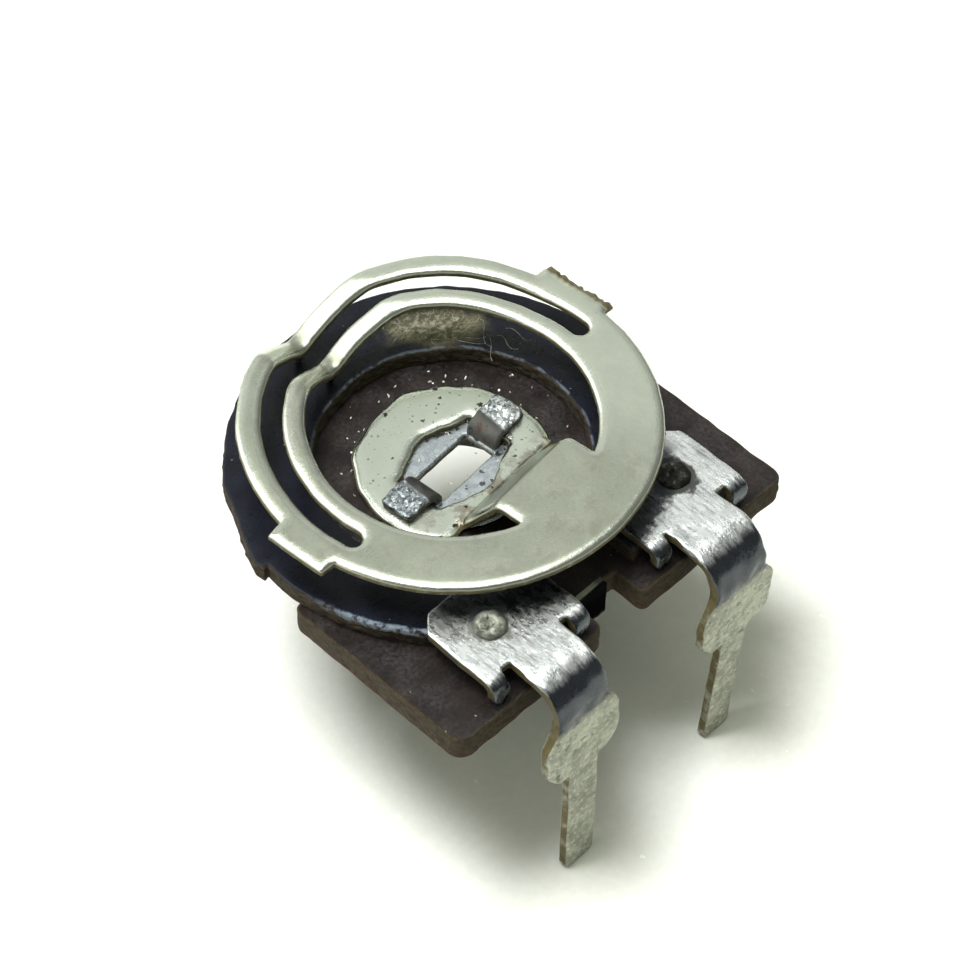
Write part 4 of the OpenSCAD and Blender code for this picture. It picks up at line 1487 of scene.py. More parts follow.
        shell = blank.shell().mapped(self.bent).dented(0.035, 0.35, 34 + self.side.value, lumpy)
        shell = shell.dented(0.012, 0.9, 36 + self.side.value)
        if self.side is Side.LEFT:
            shell = shell.mirrored()
        side = self.side.name.lower()
        mesh = shell.mesh(f"tinned_terminal_{side}")
        hand_over(mesh, self.finish, Body.FRAME, [f"end_terminal_{side}"])


@dataclass
class CentreTerminal:
    """The wiper's terminal: a collar under the plate, a leg at the back and a stop tab in the notch."""

    sheet: float = 0.26
    low: float = -1.01
    collar: float = 2.9
    bore: float = 1.88
    stop_x: float = -0.46
    strap: float = 0.84
    bend: float = 0.3
    strap_bend_at: float = 4.68
    stop_top: float = 0.32
    leg_bend_at: float = 3.11
    shoulder: float = 2.3
    shoulder_end: float = -1.95
    seat: float = -2.4
    seat_reach: float = 0.82
    pin: float = 0.86
    tip: float = -6.25
    tip_corner: float = 0.12
    # Painted shade: the stop tab's front and bends take a near-black band colour, with little reflection.
    finish: Finish = TinnedSteel(
        "tinned_centre", ior=1.01, painted_reflection_band=(0.006, 0.006, 0.007), sheared=(0.17, 0.18, 0.15), band_metal=0.0,
        bare_from=-4.88, band_top=0.9, claw_top=0.9, band_ragged=0.0, dull_from=-0.75, dull_to=-0.92,
        rivet_x=50.0)

    def _bend_length(self) -> float:
        """Length of a bend along the middle of the sheet."""
        return quarter_turn(self.bend - self.sheet / 2)

    def outline(self) -> Outline:
        """The flat blank's outline, anticlockwise from the strap's left side."""
        left, right = self.stop_x - self.strap / 2, self.stop_x + self.strap / 2
        rise = self.stop_top - (self.low + self.bend)
        strap_y = -(self.strap_bend_at + self._bend_length() + rise)
        half, pin = self.shoulder / 2, self.pin / 2

        def leg(height: float) -> float:
            """Where a height on the leg lies in the flat blank, as y."""
            return self.leg_bend_at + self._bend_length() + (self.low + self.sheet - self.bend - height)

        def angle(x: float) -> float:
            """At which angle the collar's edge reaches an x."""
            return math.degrees(math.acos(x / self.collar))

        def edge(x: float) -> float:
            """How far from the middle the collar's edge lies at an x."""
            return math.sqrt(self.collar ** 2 - x ** 2)

        tip, seat, end, corner = leg(self.tip), leg(self.seat), leg(self.shoulder_end), self.tip_corner
        corners = [(left, -edge(left), 0.15), (left, strap_y, 0.07), (right, strap_y, 0.07),
                   (right, -edge(right), 0.15)]
        corners += arc(self.collar, -angle(right) + 3, angle(half) - 3)
        right_side = [(half, edge(half), 0.1), (half, end, 0.15), (self.seat_reach, seat, 0.1),
                      (pin, seat, 0.06), (pin, tip - corner, 0.04), (pin - corner, tip, 0.04)]
        corners += right_side + [(-x, y, radius) for x, y, radius in reversed(right_side)]
        corners += arc(self.collar, 180 - angle(half) + 3, 360 - angle(left) - 3)
        return Outline.cornered(corners, 0.06).roughened(0.006, 0.3, 41)

    def bent(self, points: Array) -> Array:
        """Bends the flat blank: the strap goes up at the front, the leg down at the back.

        Args:
            points: points of the blank.

        Returns:
            The same points on the bent terminal.
        """
        x, y, up = points.T
        length = self._bend_length()
        front, back = -y - self.strap_bend_at, y - self.leg_bend_at
        front_angle = np.clip(front / length, 0, 1) * math.pi / 2
        back_angle = np.clip(back / length, 0, 1) * math.pi / 2
        front_radius = self.bend - up
        back_radius = self.bend - self.sheet + up
        out_y = np.where(front > 0, -self.strap_bend_at - front_radius * np.sin(front_angle), y)
        out_z = np.where(front > 0, self.low + self.bend - front_radius * np.cos(front_angle)
                         + np.clip(front - length, 0, None), self.low + up)
        out_y = np.where(back > 0, self.leg_bend_at + back_radius * np.sin(back_angle), out_y)
        out_z = np.where(back > 0, self.low + self.sheet - self.bend + back_radius * np.cos(back_angle)
                         - np.clip(back - length, 0, None), out_z)
        return np.column_stack([x, out_y, out_z])

    def build(self) -> None:
        """Stamps and bends the terminal and hands it over."""
        blank = Sheet(self.outline(), [Outline.circle(self.bore)], self.sheet, grid=0.16, roll_width=0.06,
                      roll_depth=0.04, burr=0.025, tear=0.006, seed=42)
        mesh = blank.shell().mapped(self.bent).dented(0.01, 0.5, 43).mesh("tinned_centre_terminal")
        hand_over(mesh, self.finish, Body.FRAME, ["centre_terminal"])


@dataclass
class WiperSpring:
    """The rotor's one-piece spring: hub, sloping bridge, and a ring whose far half dips to the track."""

    turn: float = 5.5
    sheet: float = 0.22
    ring: float = 4.85
    ring_inner: float = 3.34
    ring_middle: float = 1.7
    slot_inner: float = 3.83
    slot_outer: float = 4.3
    slot_half_angle: float = 97.0
    contact_left: float = 1.58
    contact_right: float = 1.72
    contact_x: float = -0.22
    contact_flat: float = 0.24
    contact_middle: float = 1.04
    pip: float = 0.43
    pip_radius: float = 0.21
    hub: float = 2.35
    hub_middle: float = 0.13
    bridge: float = 1.32
    bridge_low: float = 1.36
    bridge_high: float = 2.38
    lens_half_width: float = 1.28
    lens_half_height: float = 1.06
    lens_end: float = 0.62
    lens_flat: float = 0.12
    nib_low: float = -0.6
    nib_high: float = 1.0
    nib_reach: float = 5.2
    torn_nib_high: float = 1.32
    torn_nib_sag: float = 0.16
    arm_lift: float = 0.21
    arm_spread: float = 0.026
    arm_lift_from: float = 0.5
    arm_lift_to: float = 3.6
    finish: Finish = NickelSilver("nickel_silver")

    def outer(self) -> Outline:
        """The ring's outer edge with its two shear nibs."""
        low = math.degrees(math.asin(self.nib_low / self.ring))
        high = math.degrees(math.asin(self.nib_high / self.ring))
        torn = math.degrees(math.asin(self.torn_nib_high / self.ring))
        corners = [(self.nib_reach, self.nib_low, 0.05), (self.nib_reach, self.torn_nib_high, 0.07)]
        corners += arc(self.ring, torn + 0.5, 180 - high - 0.5)
        corners += [(-self.nib_reach, self.nib_high, 0.07), (-self.nib_reach, self.nib_low, 0.05)]
        corners += arc(self.ring, 180 - low + 0.5, 360 + low - 0.5)
        return Outline.cornered(corners).roughened(0.005, 0.3, 51)

    def slot(self) -> Outline:
        """The slot that parts the two contact arms."""
        first, last = 90 - self.slot_half_angle, 90 + self.slot_half_angle
        middle, half = (self.slot_inner + self.slot_outer) / 2, (self.slot_outer - self.slot_inner) / 2

        def end(angle: float, start: float) -> list[Corner]:
            """The slot's round end at an angle."""
            at = (middle * math.cos(math.radians(angle)), middle * math.sin(math.radians(angle)))
            return arc(half, start + 20, start + 160, at)

        corners = arc(self.slot_outer, first, last) + end(last, last)
        corners += arc(self.slot_inner, last, first) + end(first, first + 180)
        return Outline.cornered(corners).roughened(0.006, 0.3, 52)

    def gap(self) -> Outline:
        """The C-shaped gap between the ring and the hub, either side of the bridge."""
        side = math.degrees(math.acos(self.bridge / self.ring_inner))
        hub_side = math.sqrt(self.hub ** 2 - self.bridge_low ** 2)
        hub_end = math.degrees(math.asin(self.bridge_low / self.hub))
        ring_y = -math.sqrt(self.ring_inner ** 2 - self.bridge ** 2)
        corners = arc(self.ring_inner, -side + 1, 180 + side - 1)
        corners += [(-self.bridge, ring_y, 0.1), (-self.bridge, -self.bridge_low, 0.08),
                    (-hub_side, -self.bridge_low, 0.12)]
        corners += arc(self.hub, 180 + hub_end - 2, -hub_end + 2)
        corners += [(hub_side, -self.bridge_low, 0.12), (self.bridge, -self.bridge_low, 0.08),
                    (self.bridge, ring_y, 0.1)]
        line = Outline.cornered(corners)
        return line.roughened(0.022, 0.35, 53, lambda p: np.where(np.linalg.norm(p, axis=1) < 2.6, 1.0, 0.22))

    def lens(self) -> Outline:
        """The eight-cornered hole in the hub."""
        w, h, e, f = self.lens_half_width, self.lens_half_height, self.lens_end, self.lens_flat
        corners = [(w, -e, 0.08), (w, e, 0.08), (f, h, 0.15), (-f, h, 0.15), (-w, e, 0.08), (-w, -e, 0.08),
                   (-f, -h, 0.15), (f, -h, 0.15)]
        return Outline.cornered(corners, 0.045).roughened(0.016, 0.22, 54)

    def _contact(self) -> Pair:
        """The two sides of the contacts' flat bottom, as x."""
        return self.contact_x - self.contact_flat / 2, self.contact_x + self.contact_flat / 2

    def _lifted(self, x: Array, y: Array) -> Array:
        """How far the contacts' push has lifted the arms, as a share of the full lift."""
        t = np.clip((y - self.arm_lift_from) / (self.arm_lift_to - self.arm_lift_from), 0, 1)
        left, right = self._contact()
        knots = [(-FAR, 1.0), (-self.contact_left, 1.0), (left, 0.0), (right, 0.0),
                 (self.contact_right, 1.0), (FAR, 1.0)]
        return t * t * (3 - 2 * t) * fold(x, knots, 0.14)

    def _height(self, x: Array, y: Array) -> Array:
        """Height of the sheet's middle over points of the blank.

        Args:
            x: the points' x.
            y: the points' y.

        Returns:
            The height at each point.
        """
        radius = np.hypot(x, y)
        left, right = self._contact()
        ring, low, hub = self.ring_middle, self.contact_middle, self.hub_middle
        outer_arm = [(-FAR, ring), (-self.contact_left, ring), (left, low), (right, low),
                     (self.contact_right, ring), (FAR, ring)]
        inner_arm = [(-FAR, ring), (-self.contact_left - 0.22, ring),
                     (-self.contact_left + 0.16, ring - 0.16), (left - 0.06, low), (right, low),
                     (self.contact_right - 0.05, ring), (FAR, ring)]
        bridge = [(-FAR, ring), (-self.bridge_high, ring), (-self.bridge_low, hub), (FAR, hub)]
        on_inner_arm = radius < (self.slot_inner + self.slot_outer) / 2
        arm = np.where(on_inner_arm, fold(x, inner_arm, 0.12), fold(x, outer_arm, 0.14))
        lifted = np.where(y > 0, arm, ring) + self.arm_lift * self._lifted(x, y)
        return np.where(radius < (self.hub + self.ring_inner) / 2, fold(y, bridge, 0.1), lifted)

    def pressed(self, points: Array) -> Array:
        """Folds the flat blank: the hub low, the bridge sloping, the arms dipping to the contacts.

        Args:
            points: points of the blank.

        Returns:
            The same points on the folded spring.
        """
        x, y, up = points.T
        tiny = 0.01
        dx = (self._height(x + tiny, y) - self._height(x - tiny, y)) / (2 * tiny)
        dy = (self._height(x, y + tiny) - self._height(x, y - tiny)) / (2 * tiny)
        dx, dy = np.clip(dx, -2, 2), np.clip(dy, -2, 2)
        offset = (up - self.sheet / 2) / np.sqrt(1 + dx * dx + dy * dy)
        spread = 1 + self.arm_spread * np.clip(self._lifted(x, y) + (np.abs(x) < 2) * (y > 3), 0, 1)
        z = self._height(x, y) + offset
        z -= self.torn_nib_sag * np.clip((x - self.ring) / (self.nib_reach - self.ring), 0, 1) ** 1.5
        for radius in ((self.ring + self.slot_outer) / 2, (self.ring_inner + self.slot_inner) / 2):
            away = np.hypot(x - self.contact_x, y - math.sqrt(radius ** 2 - self.contact_x ** 2))
            z -= self.pip * np.clip(1 - (away / self.pip_radius) ** 2, 0, 1) * (up < self.sheet / 2)
        return np.column_stack([x * spread - dx * offset, y * spread - dy * offset, z])

    def build(self) -> None:
        """Stamps and folds the spring and hands it over."""
        blank = Sheet(self.outer(), [self.slot(), self.gap(), self.lens()], self.sheet, grid=0.11,
                      roll_width=0.24, roll_depth=0.105, tear=0.006, seed=55)
        flat = blank.shell()
        torn = np.clip((flat.points[:, 0] - self.ring) / 0.1, 0, 1)
        flat.cut = np.maximum(flat.cut, torn)

        def on_nib(p: Array) -> Array:
            """The torn nib's share of its roughness."""
            return np.clip((p[:, 0] - self.ring) / 0.15, 0, 1)

        shell = flat.mapped(self.pressed).dented(0.006, 1.6, 56)
        shell = shell.dented(0.09, 0.16, 57, on_nib).turned(self.turn)
        hand_over(shell.mesh("wiper_spring_sheet"), self.finish, Body.ROTOR, ["wiper_spring"])


@dataclass
class DriveBush:
    """The turning bush: a slotted cap on a short tube, with two tabs folded out over the hub."""

    turn: float = 5.5
    sheet: float = 0.22
    radius: float = 1.83
    flange: float = 2.4
    flange_top: float = -1.03
    flange_low: float = -1.25
    slot_length: float = 1.88
    slot_width: float = 0.9
    tab_bend: float = 0.4
    tab_reach: float = 2.11
    tab_top: float = 0.46
    finish: Finish = TinnedBush("tinned_bush")

    def cap(self) -> Shell:
        """The cap with its screwdriver slot."""
        half_l, half_w = self.slot_length / 2, self.slot_width / 2
        slot = Outline.cornered([(half_l, -half_w, 0.04), (half_l, half_w, 0.04), (-half_l, half_w, 0.04),
                                 (-half_l, -half_w, 0.04)], 0.045).roughened(0.006, 0.2, 61)
        sheet = Sheet(Outline.circle(self.radius), [slot], self.sheet, grid=0.14, roll_width=0.08,
                      roll_depth=0.05, tear=0.006, seed=62)
        return sheet.shell().mapped(lambda p: p - [0, 0, self.sheet])

    def tube(self) -> Shell:
        """The tube and its flange under the centre terminal's collar."""
        inner, outer = self.radius - self.sheet, self.radius - 0.003
        profile = rounded_profile([(inner, self.flange_low, 0.09), (self.flange, self.flange_low, 0.08),
                                   (self.flange, self.flange_top, 0.06), (outer, self.flange_top, 0.01),
                                   (outer, -0.1, 0.03), (inner, -0.1, 0.03)])
        return turned_shell(profile)

    def tab(self) -> Shell:
        """The right tab: up out of the slot's end, then folded out flat."""
        foot = -self.sheet + 0.02
        rise = self.tab_top - self.tab_bend - foot
        bend = quarter_turn(self.tab_bend - self.sheet / 2)
        length = rise + bend + self.tab_reach - self.slot_length / 2 - self.tab_bend
        half = self.slot_width / 2
        end = half - 0.03
        corners = [(0, -half, 0.02), (length, -end, 0.12), (length, end, 0.12), (0, half, 0.02)]
        outline = Outline.cornered(corners, 0.045).roughened(0.008, 0.2, 63)
        sheet = Sheet(outline, [], self.sheet, grid=0.08, roll_width=0.07, roll_depth=0.05, burr=0.03,
                      tear=0.006, seed=64)
        root = self.slot_length / 2

        def folded(points: Array) -> Array:
            """Stands the flat tab up and folds it out."""
            along, across, up = points.T
            angle = np.clip((along - rise) / bend, 0, 1) * math.pi / 2
            radius = self.tab_bend - self.sheet + up
            x = root + self.tab_bend - radius * np.cos(angle) + np.clip(along - rise - bend, 0, None)
            z = np.where(along < rise, foot + along, self.tab_top - self.tab_bend + radius * np.sin(angle))
            return np.column_stack([x, across, z])

        return sheet.shell().mapped(folded)

    def build(self) -> None:
        """Joins cap, tube and tabs and hands the bush over."""

        def on_top(p: Array) -> Array:
            """The folded part's share of the solder's lumps."""
            return np.clip((p[:, 2] - 0.3) / 0.1, 0, 1)

        right = self.tab().dented(0.05, 0.22, 65, on_top)
        left = self.tab().dented(0.05, 0.25, 66, on_top).mirrored()
        shell = self.cap().joined(self.tube()).joined(right).joined(left).turned(self.turn)
        hand_over(shell.mesh("drive_bush_drawn"), self.finish, Body.ROTOR, ["drive_bush"])


# ---- repeated pieces by geometry nodes


class Scatter:
    """A geometry node tree applied to a base mesh and turned into a plain mesh."""

    def __init__(self, name: str, **values: Any):
        """Starts a tree that takes a geometry and named values and gives a geometry.

        Args:
            name: name of the tree and of the finished mesh.
            values: the value that this use gives each named input.
        """
        self.name = name
        self.tree = bpy.data.node_groups.new(name, "GeometryNodeTree")
        self.values: Inputs = {}
        for way in ("INPUT", "OUTPUT"):
            self.tree.interface.new_socket("Geometry", in_out=way, socket_type="NodeSocketGeometry")
        for label, value in values.items():
            kind = SOCKET_KINDS.get(type(value), "NodeSocketObject")
            socket = self.tree.interface.new_socket(label, in_out="INPUT", socket_type=kind)
            self.values[socket.identifier] = value
        self.graph = Graph(self.tree)
        self.given = self.graph.add("NodeGroupInput").outputs

    def finish(self, geometry: Socket, material: bpy.types.Material) -> None:
        """Ends the tree in realised instances with their material."""
        real = self.graph.add("GeometryNodeRealizeInstances", {"Geometry": geometry}).outputs[0]
        dressed = self.graph.add("GeometryNodeSetMaterial", {"Geometry": real, "Material": material})
        self.graph.add("NodeGroupOutput", {"Geometry": dressed.outputs[0]})

    def baked(self, base: bpy.types.Mesh) -> bpy.types.Mesh:
        """Runs the tree on a mesh.

        Args:
            base: the mesh that the tree starts from.

        Returns:
            The result as a plain mesh.
        """
        holder = set_out(f"{self.name}_holder", base)
        modifier = holder.modifiers.new(self.name, "NODES")
        modifier.node_group = self.tree
        for identifier, value in self.values.items():
            modifier[identifier] = value
        graph = bpy.context.evaluated_depsgraph_get()
        made = bpy.data.meshes.new_from_object(holder.evaluated_get(graph))
        holder.modifiers.remove(modifier)
        bpy.data.objects.remove(holder)
        made.name = self.name
        return made

    def on_points(self, points: Socket, instance: Socket, turn: Socket,
                  scale: Any = (1.0, 1.0, 1.0)) -> Socket:
        """Instances set on points, each with its turn and scale."""
        inputs = {"Points": points, "Instance": instance, "Rotation": turn, "Scale": scale}
        return self.graph.add("GeometryNodeInstanceOnPoints", inputs).outputs[0]

    def strewn(self) -> Socket:
        """Points strewn over the base mesh, by the inputs Density and Seed."""
        given = self.given
        inputs = {"Mesh": given["Geometry"], "Density": given["Density"], "Seed": given["Seed"]}
        return self.graph.add("GeometryNodeDistributePointsOnFaces", inputs).outputs["Points"]

    def random(self, low: Point, high: Point) -> Socket:
        """A random vector for each point, by the input Seed."""
        inputs = {0: low, 1: high, "Seed": self.given["Seed"]}
        return self.graph.add("FunctionNodeRandomValue", inputs, data_type="FLOAT_VECTOR").outputs[0]


def discs(name: str, places: Sequence[tuple[float, Matrix]], segments: int) -> bpy.types.Mesh:
    """Flat discs for a scatter to start from.

    Args:
        name: the scatter's name.
        places: each disc's radius, in millimetres, and its place.
        segments: how many points go round each.

    Returns:
        The mesh.
    """
    mesh = bmesh.new()
    for radius, place in places:
        bmesh.ops.create_circle(mesh, cap_ends=True, segments=segments, radius=radius * MM, matrix=place)
    made = bpy.data.meshes.new(f"{name}_patch")
    mesh.to_mesh(made)
    mesh.free()
    return made


@dataclass
class RivetRow:
    """The two rivets that hold the end terminals, set out by one geometry node tree."""

    x: float = 2.98
    y: float = -4.18
    shank: float = 0.28
    head: float = 0.4
    top: float = 0.76
    under: float = -0.75
    height: float = 0.14
    pit: float = 0.11
    finish: Finish = RivetMetal("rivet_metal")

    def one(self) -> bpy.types.Mesh:
        """A single rivet standing on the axis."""
        crown, sole, head, pit = self.top + self.height, self.under - self.height, self.head, self.pit
        line = [(0.0, sole + 0.05), (pit * 0.8, sole + 0.04), (pit * 1.3, sole), (head * 0.7, sole + 0.01),
                (head * 0.95, sole + 0.06), (head, self.under - 0.01), (head * 0.97, self.under),
                (self.shank, self.under), (self.shank, self.top), (head * 0.97, self.top),
                (head, self.top + 0.02), (head * 0.97, self.top + 0.06), (head * 0.86, self.top + 0.105),
                (head * 0.68, crown - 0.008), (head * 0.5, crown), (pit * 1.35, crown - 0.012),
                (pit, crown - 0.05), (pit * 0.7, crown - 0.1), (0.0, crown - 0.11)]

        def on_crown(p: Array) -> Array:
            """The crown's share of the hammering."""
            return np.where(p[:, 2] > self.top + 0.03, 1.0, 0.15)

        return turned_shell(line, around=48).dented(0.05, 0.16, 71, on_crown).mesh("rivet_pattern")

    def build(self) -> None:
        """Sets the rivets out and hands them over as one piece."""
        template = set_out("rivet_pattern", self.one())
        row = Scatter("rivets", Pattern=template, Start=(-self.x * MM, self.y * MM, 0.0),
                      Step=(2 * self.x * MM, 0.0, 0.0), Seed=4)
        graph, given = row.graph, row.given
        inputs = {"Count": 2, "Start Location": given["Start"], "Offset": given["Step"]}
        line = graph.add("GeometryNodeMeshLine", inputs).outputs[0]
        pattern = graph.add("GeometryNodeObjectInfo", {"Object": given["Pattern"]}).outputs["Geometry"]
        turn = row.random((0.0, 0.0, 0.0), (0.0, 0.0, 6.28))
        row.finish(row.on_points(line, pattern, turn), self.finish.material())
        mesh = row.baked(bpy.data.meshes.new("rivets_base"))
        bpy.data.objects.remove(template)
        hand_over(mesh, self.finish, Body.FRAME, ["end_rivet_left", "end_rivet_right"])


@dataclass
class DustGrains:
    """Grains of dust scattered over a flat patch."""

    name: str
    body: Body
    patch: list[Point]
    height: float
    per_mm2: float
    grain: float
    seed: int
    finish: Finish = Fluff("house_dust", light=(0.88, 0.86, 0.8), dark=(0.42, 0.36, 0.29))

    def surface(self) -> bpy.types.Mesh:
        """The discs that the grains lie on; the patch gives the x, y and radius of each."""
        return discs(self.name, [(radius, Matrix.Translation(Vector((x, y, self.height)) * MM))
                                 for x, y, radius in self.patch], 32)

    def build(self) -> None:
        """Scatters the grains and hands them over."""
        scatter = Scatter(self.name, Density=self.per_mm2 / (MM * MM), Grain=self.grain * MM, Seed=self.seed)
        graph = scatter.graph
        points = scatter.strewn()
        ball = graph.add("GeometryNodeMeshIcoSphere", {"Radius": 1.0, "Subdivisions": 1}).outputs[0]
        turn = scatter.random((0.0, 0.0, 0.0), (6.28, 6.28, 6.28))
        size = scatter.random((0.3, 0.2, 0.2), (1.5, 0.7, 0.5))
        size = graph.vector("SCALE", size, scatter.given["Grain"])
        scatter.finish(scatter.on_points(points, ball, turn, size), self.finish.material())
        hand_over(scatter.baked(self.surface()), self.finish, self.body)


@dataclass
class LintTuft:
    """A tuft of fine fibres caught on the track under the contact arms."""

    name: str
    centre: Point
    spread: Pair
    count: int
    length: float
    thickness: float
    curl: float
    seed: int
    heading: float = -45.0
    finish: Finish = Fluff("lint", light=(0.5, 0.475, 0.37), dark=(0.17, 0.165, 0.11))

    def patch(self) -> bpy.types.Mesh:
        """A small oval of ground for the fibres, in the track's plane."""
        turn = Matrix.Rotation(math.radians(self.heading), 4, "Z")
        oval = Matrix.Diagonal((self.spread[0], self.spread[1], 1, 1))
        return discs(self.name, [(1.0, Matrix.Translation(Vector(self.centre) * MM) @ turn @ oval)], 24)

    def build(self) -> None:
        """Lays the fibres, curls them and hands them over."""
        area = math.pi * self.spread[0] * self.spread[1] * MM * MM
        scatter = Scatter(self.name, Density=self.count / area, Length=self.length * MM,
                          Thickness=self.thickness * MM, Curl=self.curl * MM, Seed=self.seed)
        graph, given = scatter.graph, scatter.given
        points = scatter.strewn()
        inputs = {"Resolution": 14, "Start": (-0.5, 0.0, 0.0), "Start Handle": (-0.3, 0.28, 0.02),
                  "End Handle": (0.25, -0.3, 0.05), "End": (0.5, 0.08, 0.03)}
        line = graph.add("GeometryNodeCurvePrimitiveBezierSegment", inputs).outputs[0]
        turn = scatter.random((-0.12, -0.12, 0.0), (0.12, 0.12, 6.28))
        size = scatter.random((0.35, 0.3, 0.5), (1.0, 1.3, 1.0))
        size = graph.vector("SCALE", size, given["Length"])
        placed = scatter.on_points(points, line, turn, size)
        real = graph.add("GeometryNodeRealizeInstances", {"Geometry": placed}).outputs[0]
        place = graph.add("GeometryNodeInputPosition").outputs[0]
        wave = graph.add("ShaderNodeTexNoise", {"Vector": place, "Scale": 2600.0, "Detail": 1.0})
        shift = graph.vector("SUBTRACT", wave.outputs["Color"], (0.5, 0.5, 0.42))
        shift = graph.vector("SCALE", graph.vector("MULTIPLY", shift, (2.0, 2.0, 1.0)), given["Curl"])
        curled = graph.add("GeometryNodeSetPosition", {"Geometry": real, "Offset": shift}).outputs[0]
        ring = graph.add("GeometryNodeCurvePrimitiveCircle", {"Resolution": 4, "Radius": given["Thickness"]})
        inputs = {"Curve": curled, "Profile Curve": ring.outputs[0], "Fill Caps": True}
        scatter.finish(graph.add("GeometryNodeCurveToMesh", inputs).outputs[0], self.finish.material())
        hand_over(scatter.baked(self.patch()), self.finish, Body.FRAME)


# ---- floor, light and camera


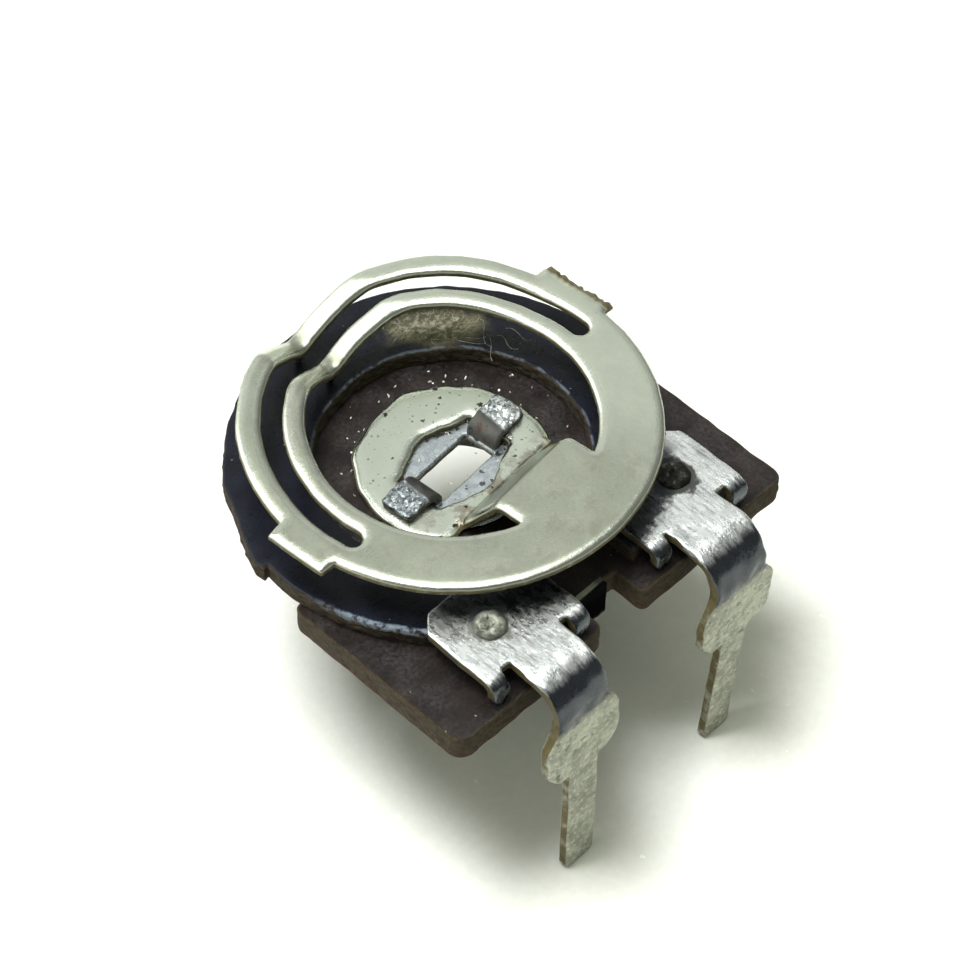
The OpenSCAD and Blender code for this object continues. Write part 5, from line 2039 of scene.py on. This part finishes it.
@dataclass
class Studio:
    """A pale paper floor, one large soft light overhead and a room that is darker in front."""

    floor_z: float = -6.27
    distance: float = 60.0
    azimuth: float = -44.685
    elevation: float = 51.848
    target: Point = (0.147, -0.712, 0.0)
    lens: float = 96.318
    light_height: float = 160.0
    light_size: Pair = (270.0, 130.0)
    light_at: Pair = (-64.0, 38.0)
    light_power: float = 0.21
    lamp_size: float = 60.0
    lamp_at: Pair = (-27.7, 35.4)
    lamp_power: float = 0.43
    fill_size: float = 290.0
    fill_at: Pair = (-38.0, -10.0)
    fill_power: float = 0.3
    fill_tint: Colour = (0.98, 1.03, 0.8)
    lamp_tint: Colour = (1.0, 1.0, 0.98)
    room_tint: Colour = (0.98, 1.0, 0.985)
    front_level: float = 0.2
    back_level: float = 0.78
    window_level: float = 2.3
    dark_level: float = 0.24
    seen_level: float = 1.2
    back_towards: Point = (-0.1, 0.9, 0.4)
    window_towards: Point = (-0.62, 0.68, 0.36)
    dark_towards: Point = (0.52, -0.78, 0.33)
    floor_reach: float = 1500.0
    paper: Finish = PaperFloor("paper_floor")

    def floor(self) -> None:
        """Lays the paper."""
        mesh = bpy.data.meshes.new("floor")
        reach = self.floor_reach
        corners = [(-reach, -reach), (reach, -reach), (reach, reach), (-reach, reach)]
        mesh.from_pydata([(x * MM, y * MM, self.floor_z * MM) for x, y in corners], [], [(0, 1, 2, 3)])
        mesh.materials.append(self.paper.material())
        set_out("floor", mesh)

    def hang(self, name: str, at: Pair, size: Pair, power: float) -> bpy.types.Object:
        """Hangs one soft light over the part, unseen by the camera.

        Args:
            name: the light's name.
            at: where it hangs over the floor.
            size: its two sides.
            power: its power, in watts.

        Returns:
            The light.
        """
        lamp = bpy.data.lights.new(name, "AREA")
        lamp.shape = "RECTANGLE"
        lamp.size, lamp.size_y = size[0] * MM, size[1] * MM
        lamp.energy = power
        lamp.color = self.lamp_tint
        hung = set_out(name, lamp)
        hung.location = Vector((*at, self.light_height)) * MM
        hung.rotation_euler = (0.0, 0.0, math.radians(self.azimuth + 8.0))
        hung.visible_camera = False
        return hung

    def light(self) -> None:
        """Hangs a softbox that the metal mirrors, and a lamp and a fill that light the matt surfaces."""
        self.hang("softbox", self.light_at, self.light_size, self.light_power).visible_diffuse = False
        self.hang("lamp", self.lamp_at, (self.lamp_size,) * 2, self.lamp_power).visible_glossy = False
        fill = self.hang("fill", self.fill_at, (self.fill_size,) * 2, self.fill_power)
        fill.visible_glossy = False
        fill.data.color = self.fill_tint

    def room(self) -> None:
        """Lights the room: pale all round, dark low down in front on the right."""
        world = bpy.data.worlds.new("room")
        bpy.context.scene.world = world
        world.cycles_visibility.diffuse = False
        world.use_nodes = True
        world.node_tree.nodes.clear()
        graph = Graph(world.node_tree)
        direction = graph.add("ShaderNodeTexCoord").outputs["Generated"]

        def towards(way: Point, low: float, high: float) -> Socket:
            """How far a direction points one way, from the edge of a soft patch to its middle."""
            return graph.ramp(graph.dot(direction, Vector(way).normalized()), low, high)

        level = graph.blend(towards(self.back_towards, -0.1, 0.9), self.front_level, self.back_level)
        level = graph.blend(towards(self.window_towards, 0.7, 0.94), level, self.window_level)
        level = graph.blend(towards(self.dark_towards, 0.62, 0.93), level, self.dark_level)
        seen = graph.add("ShaderNodeLightPath").outputs["Is Camera Ray"]
        level = graph.blend(seen, level, self.seen_level)
        shader = graph.add("ShaderNodeBackground", {"Color": (*self.room_tint, 1.0), "Strength": level})
        graph.add("ShaderNodeOutputWorld", {"Surface": shader.outputs[0]})

    def camera(self) -> None:
        """Sets the camera up at the object's usual view."""
        lens = bpy.data.cameras.new("camera")
        lens.lens = self.lens
        lens.sensor_width = 36.0
        lens.clip_start, lens.clip_end = 0.002, 10.0
        camera = set_out("camera", lens)
        a, e = math.radians(self.azimuth), math.radians(self.elevation)
        back = Vector((math.sin(a) * math.cos(e), -math.cos(a) * math.cos(e), math.sin(e)))
        camera.location = (Vector(self.target) + back * self.distance) * MM
        camera.rotation_mode = "QUATERNION"
        camera.rotation_quaternion = (-back).to_track_quat("-Z", "Y")
        bpy.context.scene.camera = camera

    def build(self) -> None:
        """Sets up floor, light, room and camera."""
        self.floor()
        self.light()
        self.room()
        self.camera()
        bpy.context.scene.view_settings.view_transform = "Standard"


def main() -> None:
    """Builds the sub-assemblies in order."""
    logging.basicConfig(level=logging.INFO, format="%(name)s: %(message)s")
    noise.seed_set(DENT_SEED)
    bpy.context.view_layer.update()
    BasePlate().build()
    ResistanceElement().build()
    EndTerminal(Side.LEFT, leg_start=5.74, lean=2.5, shift=0.07, strip_cut=0.14, splay=2.5, pin=0.93).build()
    EndTerminal(Side.RIGHT, lean=-4.0).build()
    RivetRow().build()
    CentreTerminal().build()
    WiperSpring().build()
    DriveBush().build()
    DustGrains("dust_on_plate", Body.FRAME, [(0.0, 0.0, 3.1), (2.4, 1.2, 0.8)], 0.01, 4.2, 0.05, 81).build()
    DustGrains("dust_on_spring", Body.ROTOR, [(0.0, 0.0, 2.2)], 0.25, 1.2, 0.02, 82).build()
    LintTuft("lint_tuft", (2.3, 3.25, 0.53), (0.8, 0.3), 330, 0.75, 0.005, 0.26, 83).build()
    LintTuft("lint_fibres", (3.0, 1.9, 0.53), (0.9, 0.35), 7, 1.0, 0.0045, 0.6, 84).build()
    Studio().build()


if __name__ == "__main__":
    main()
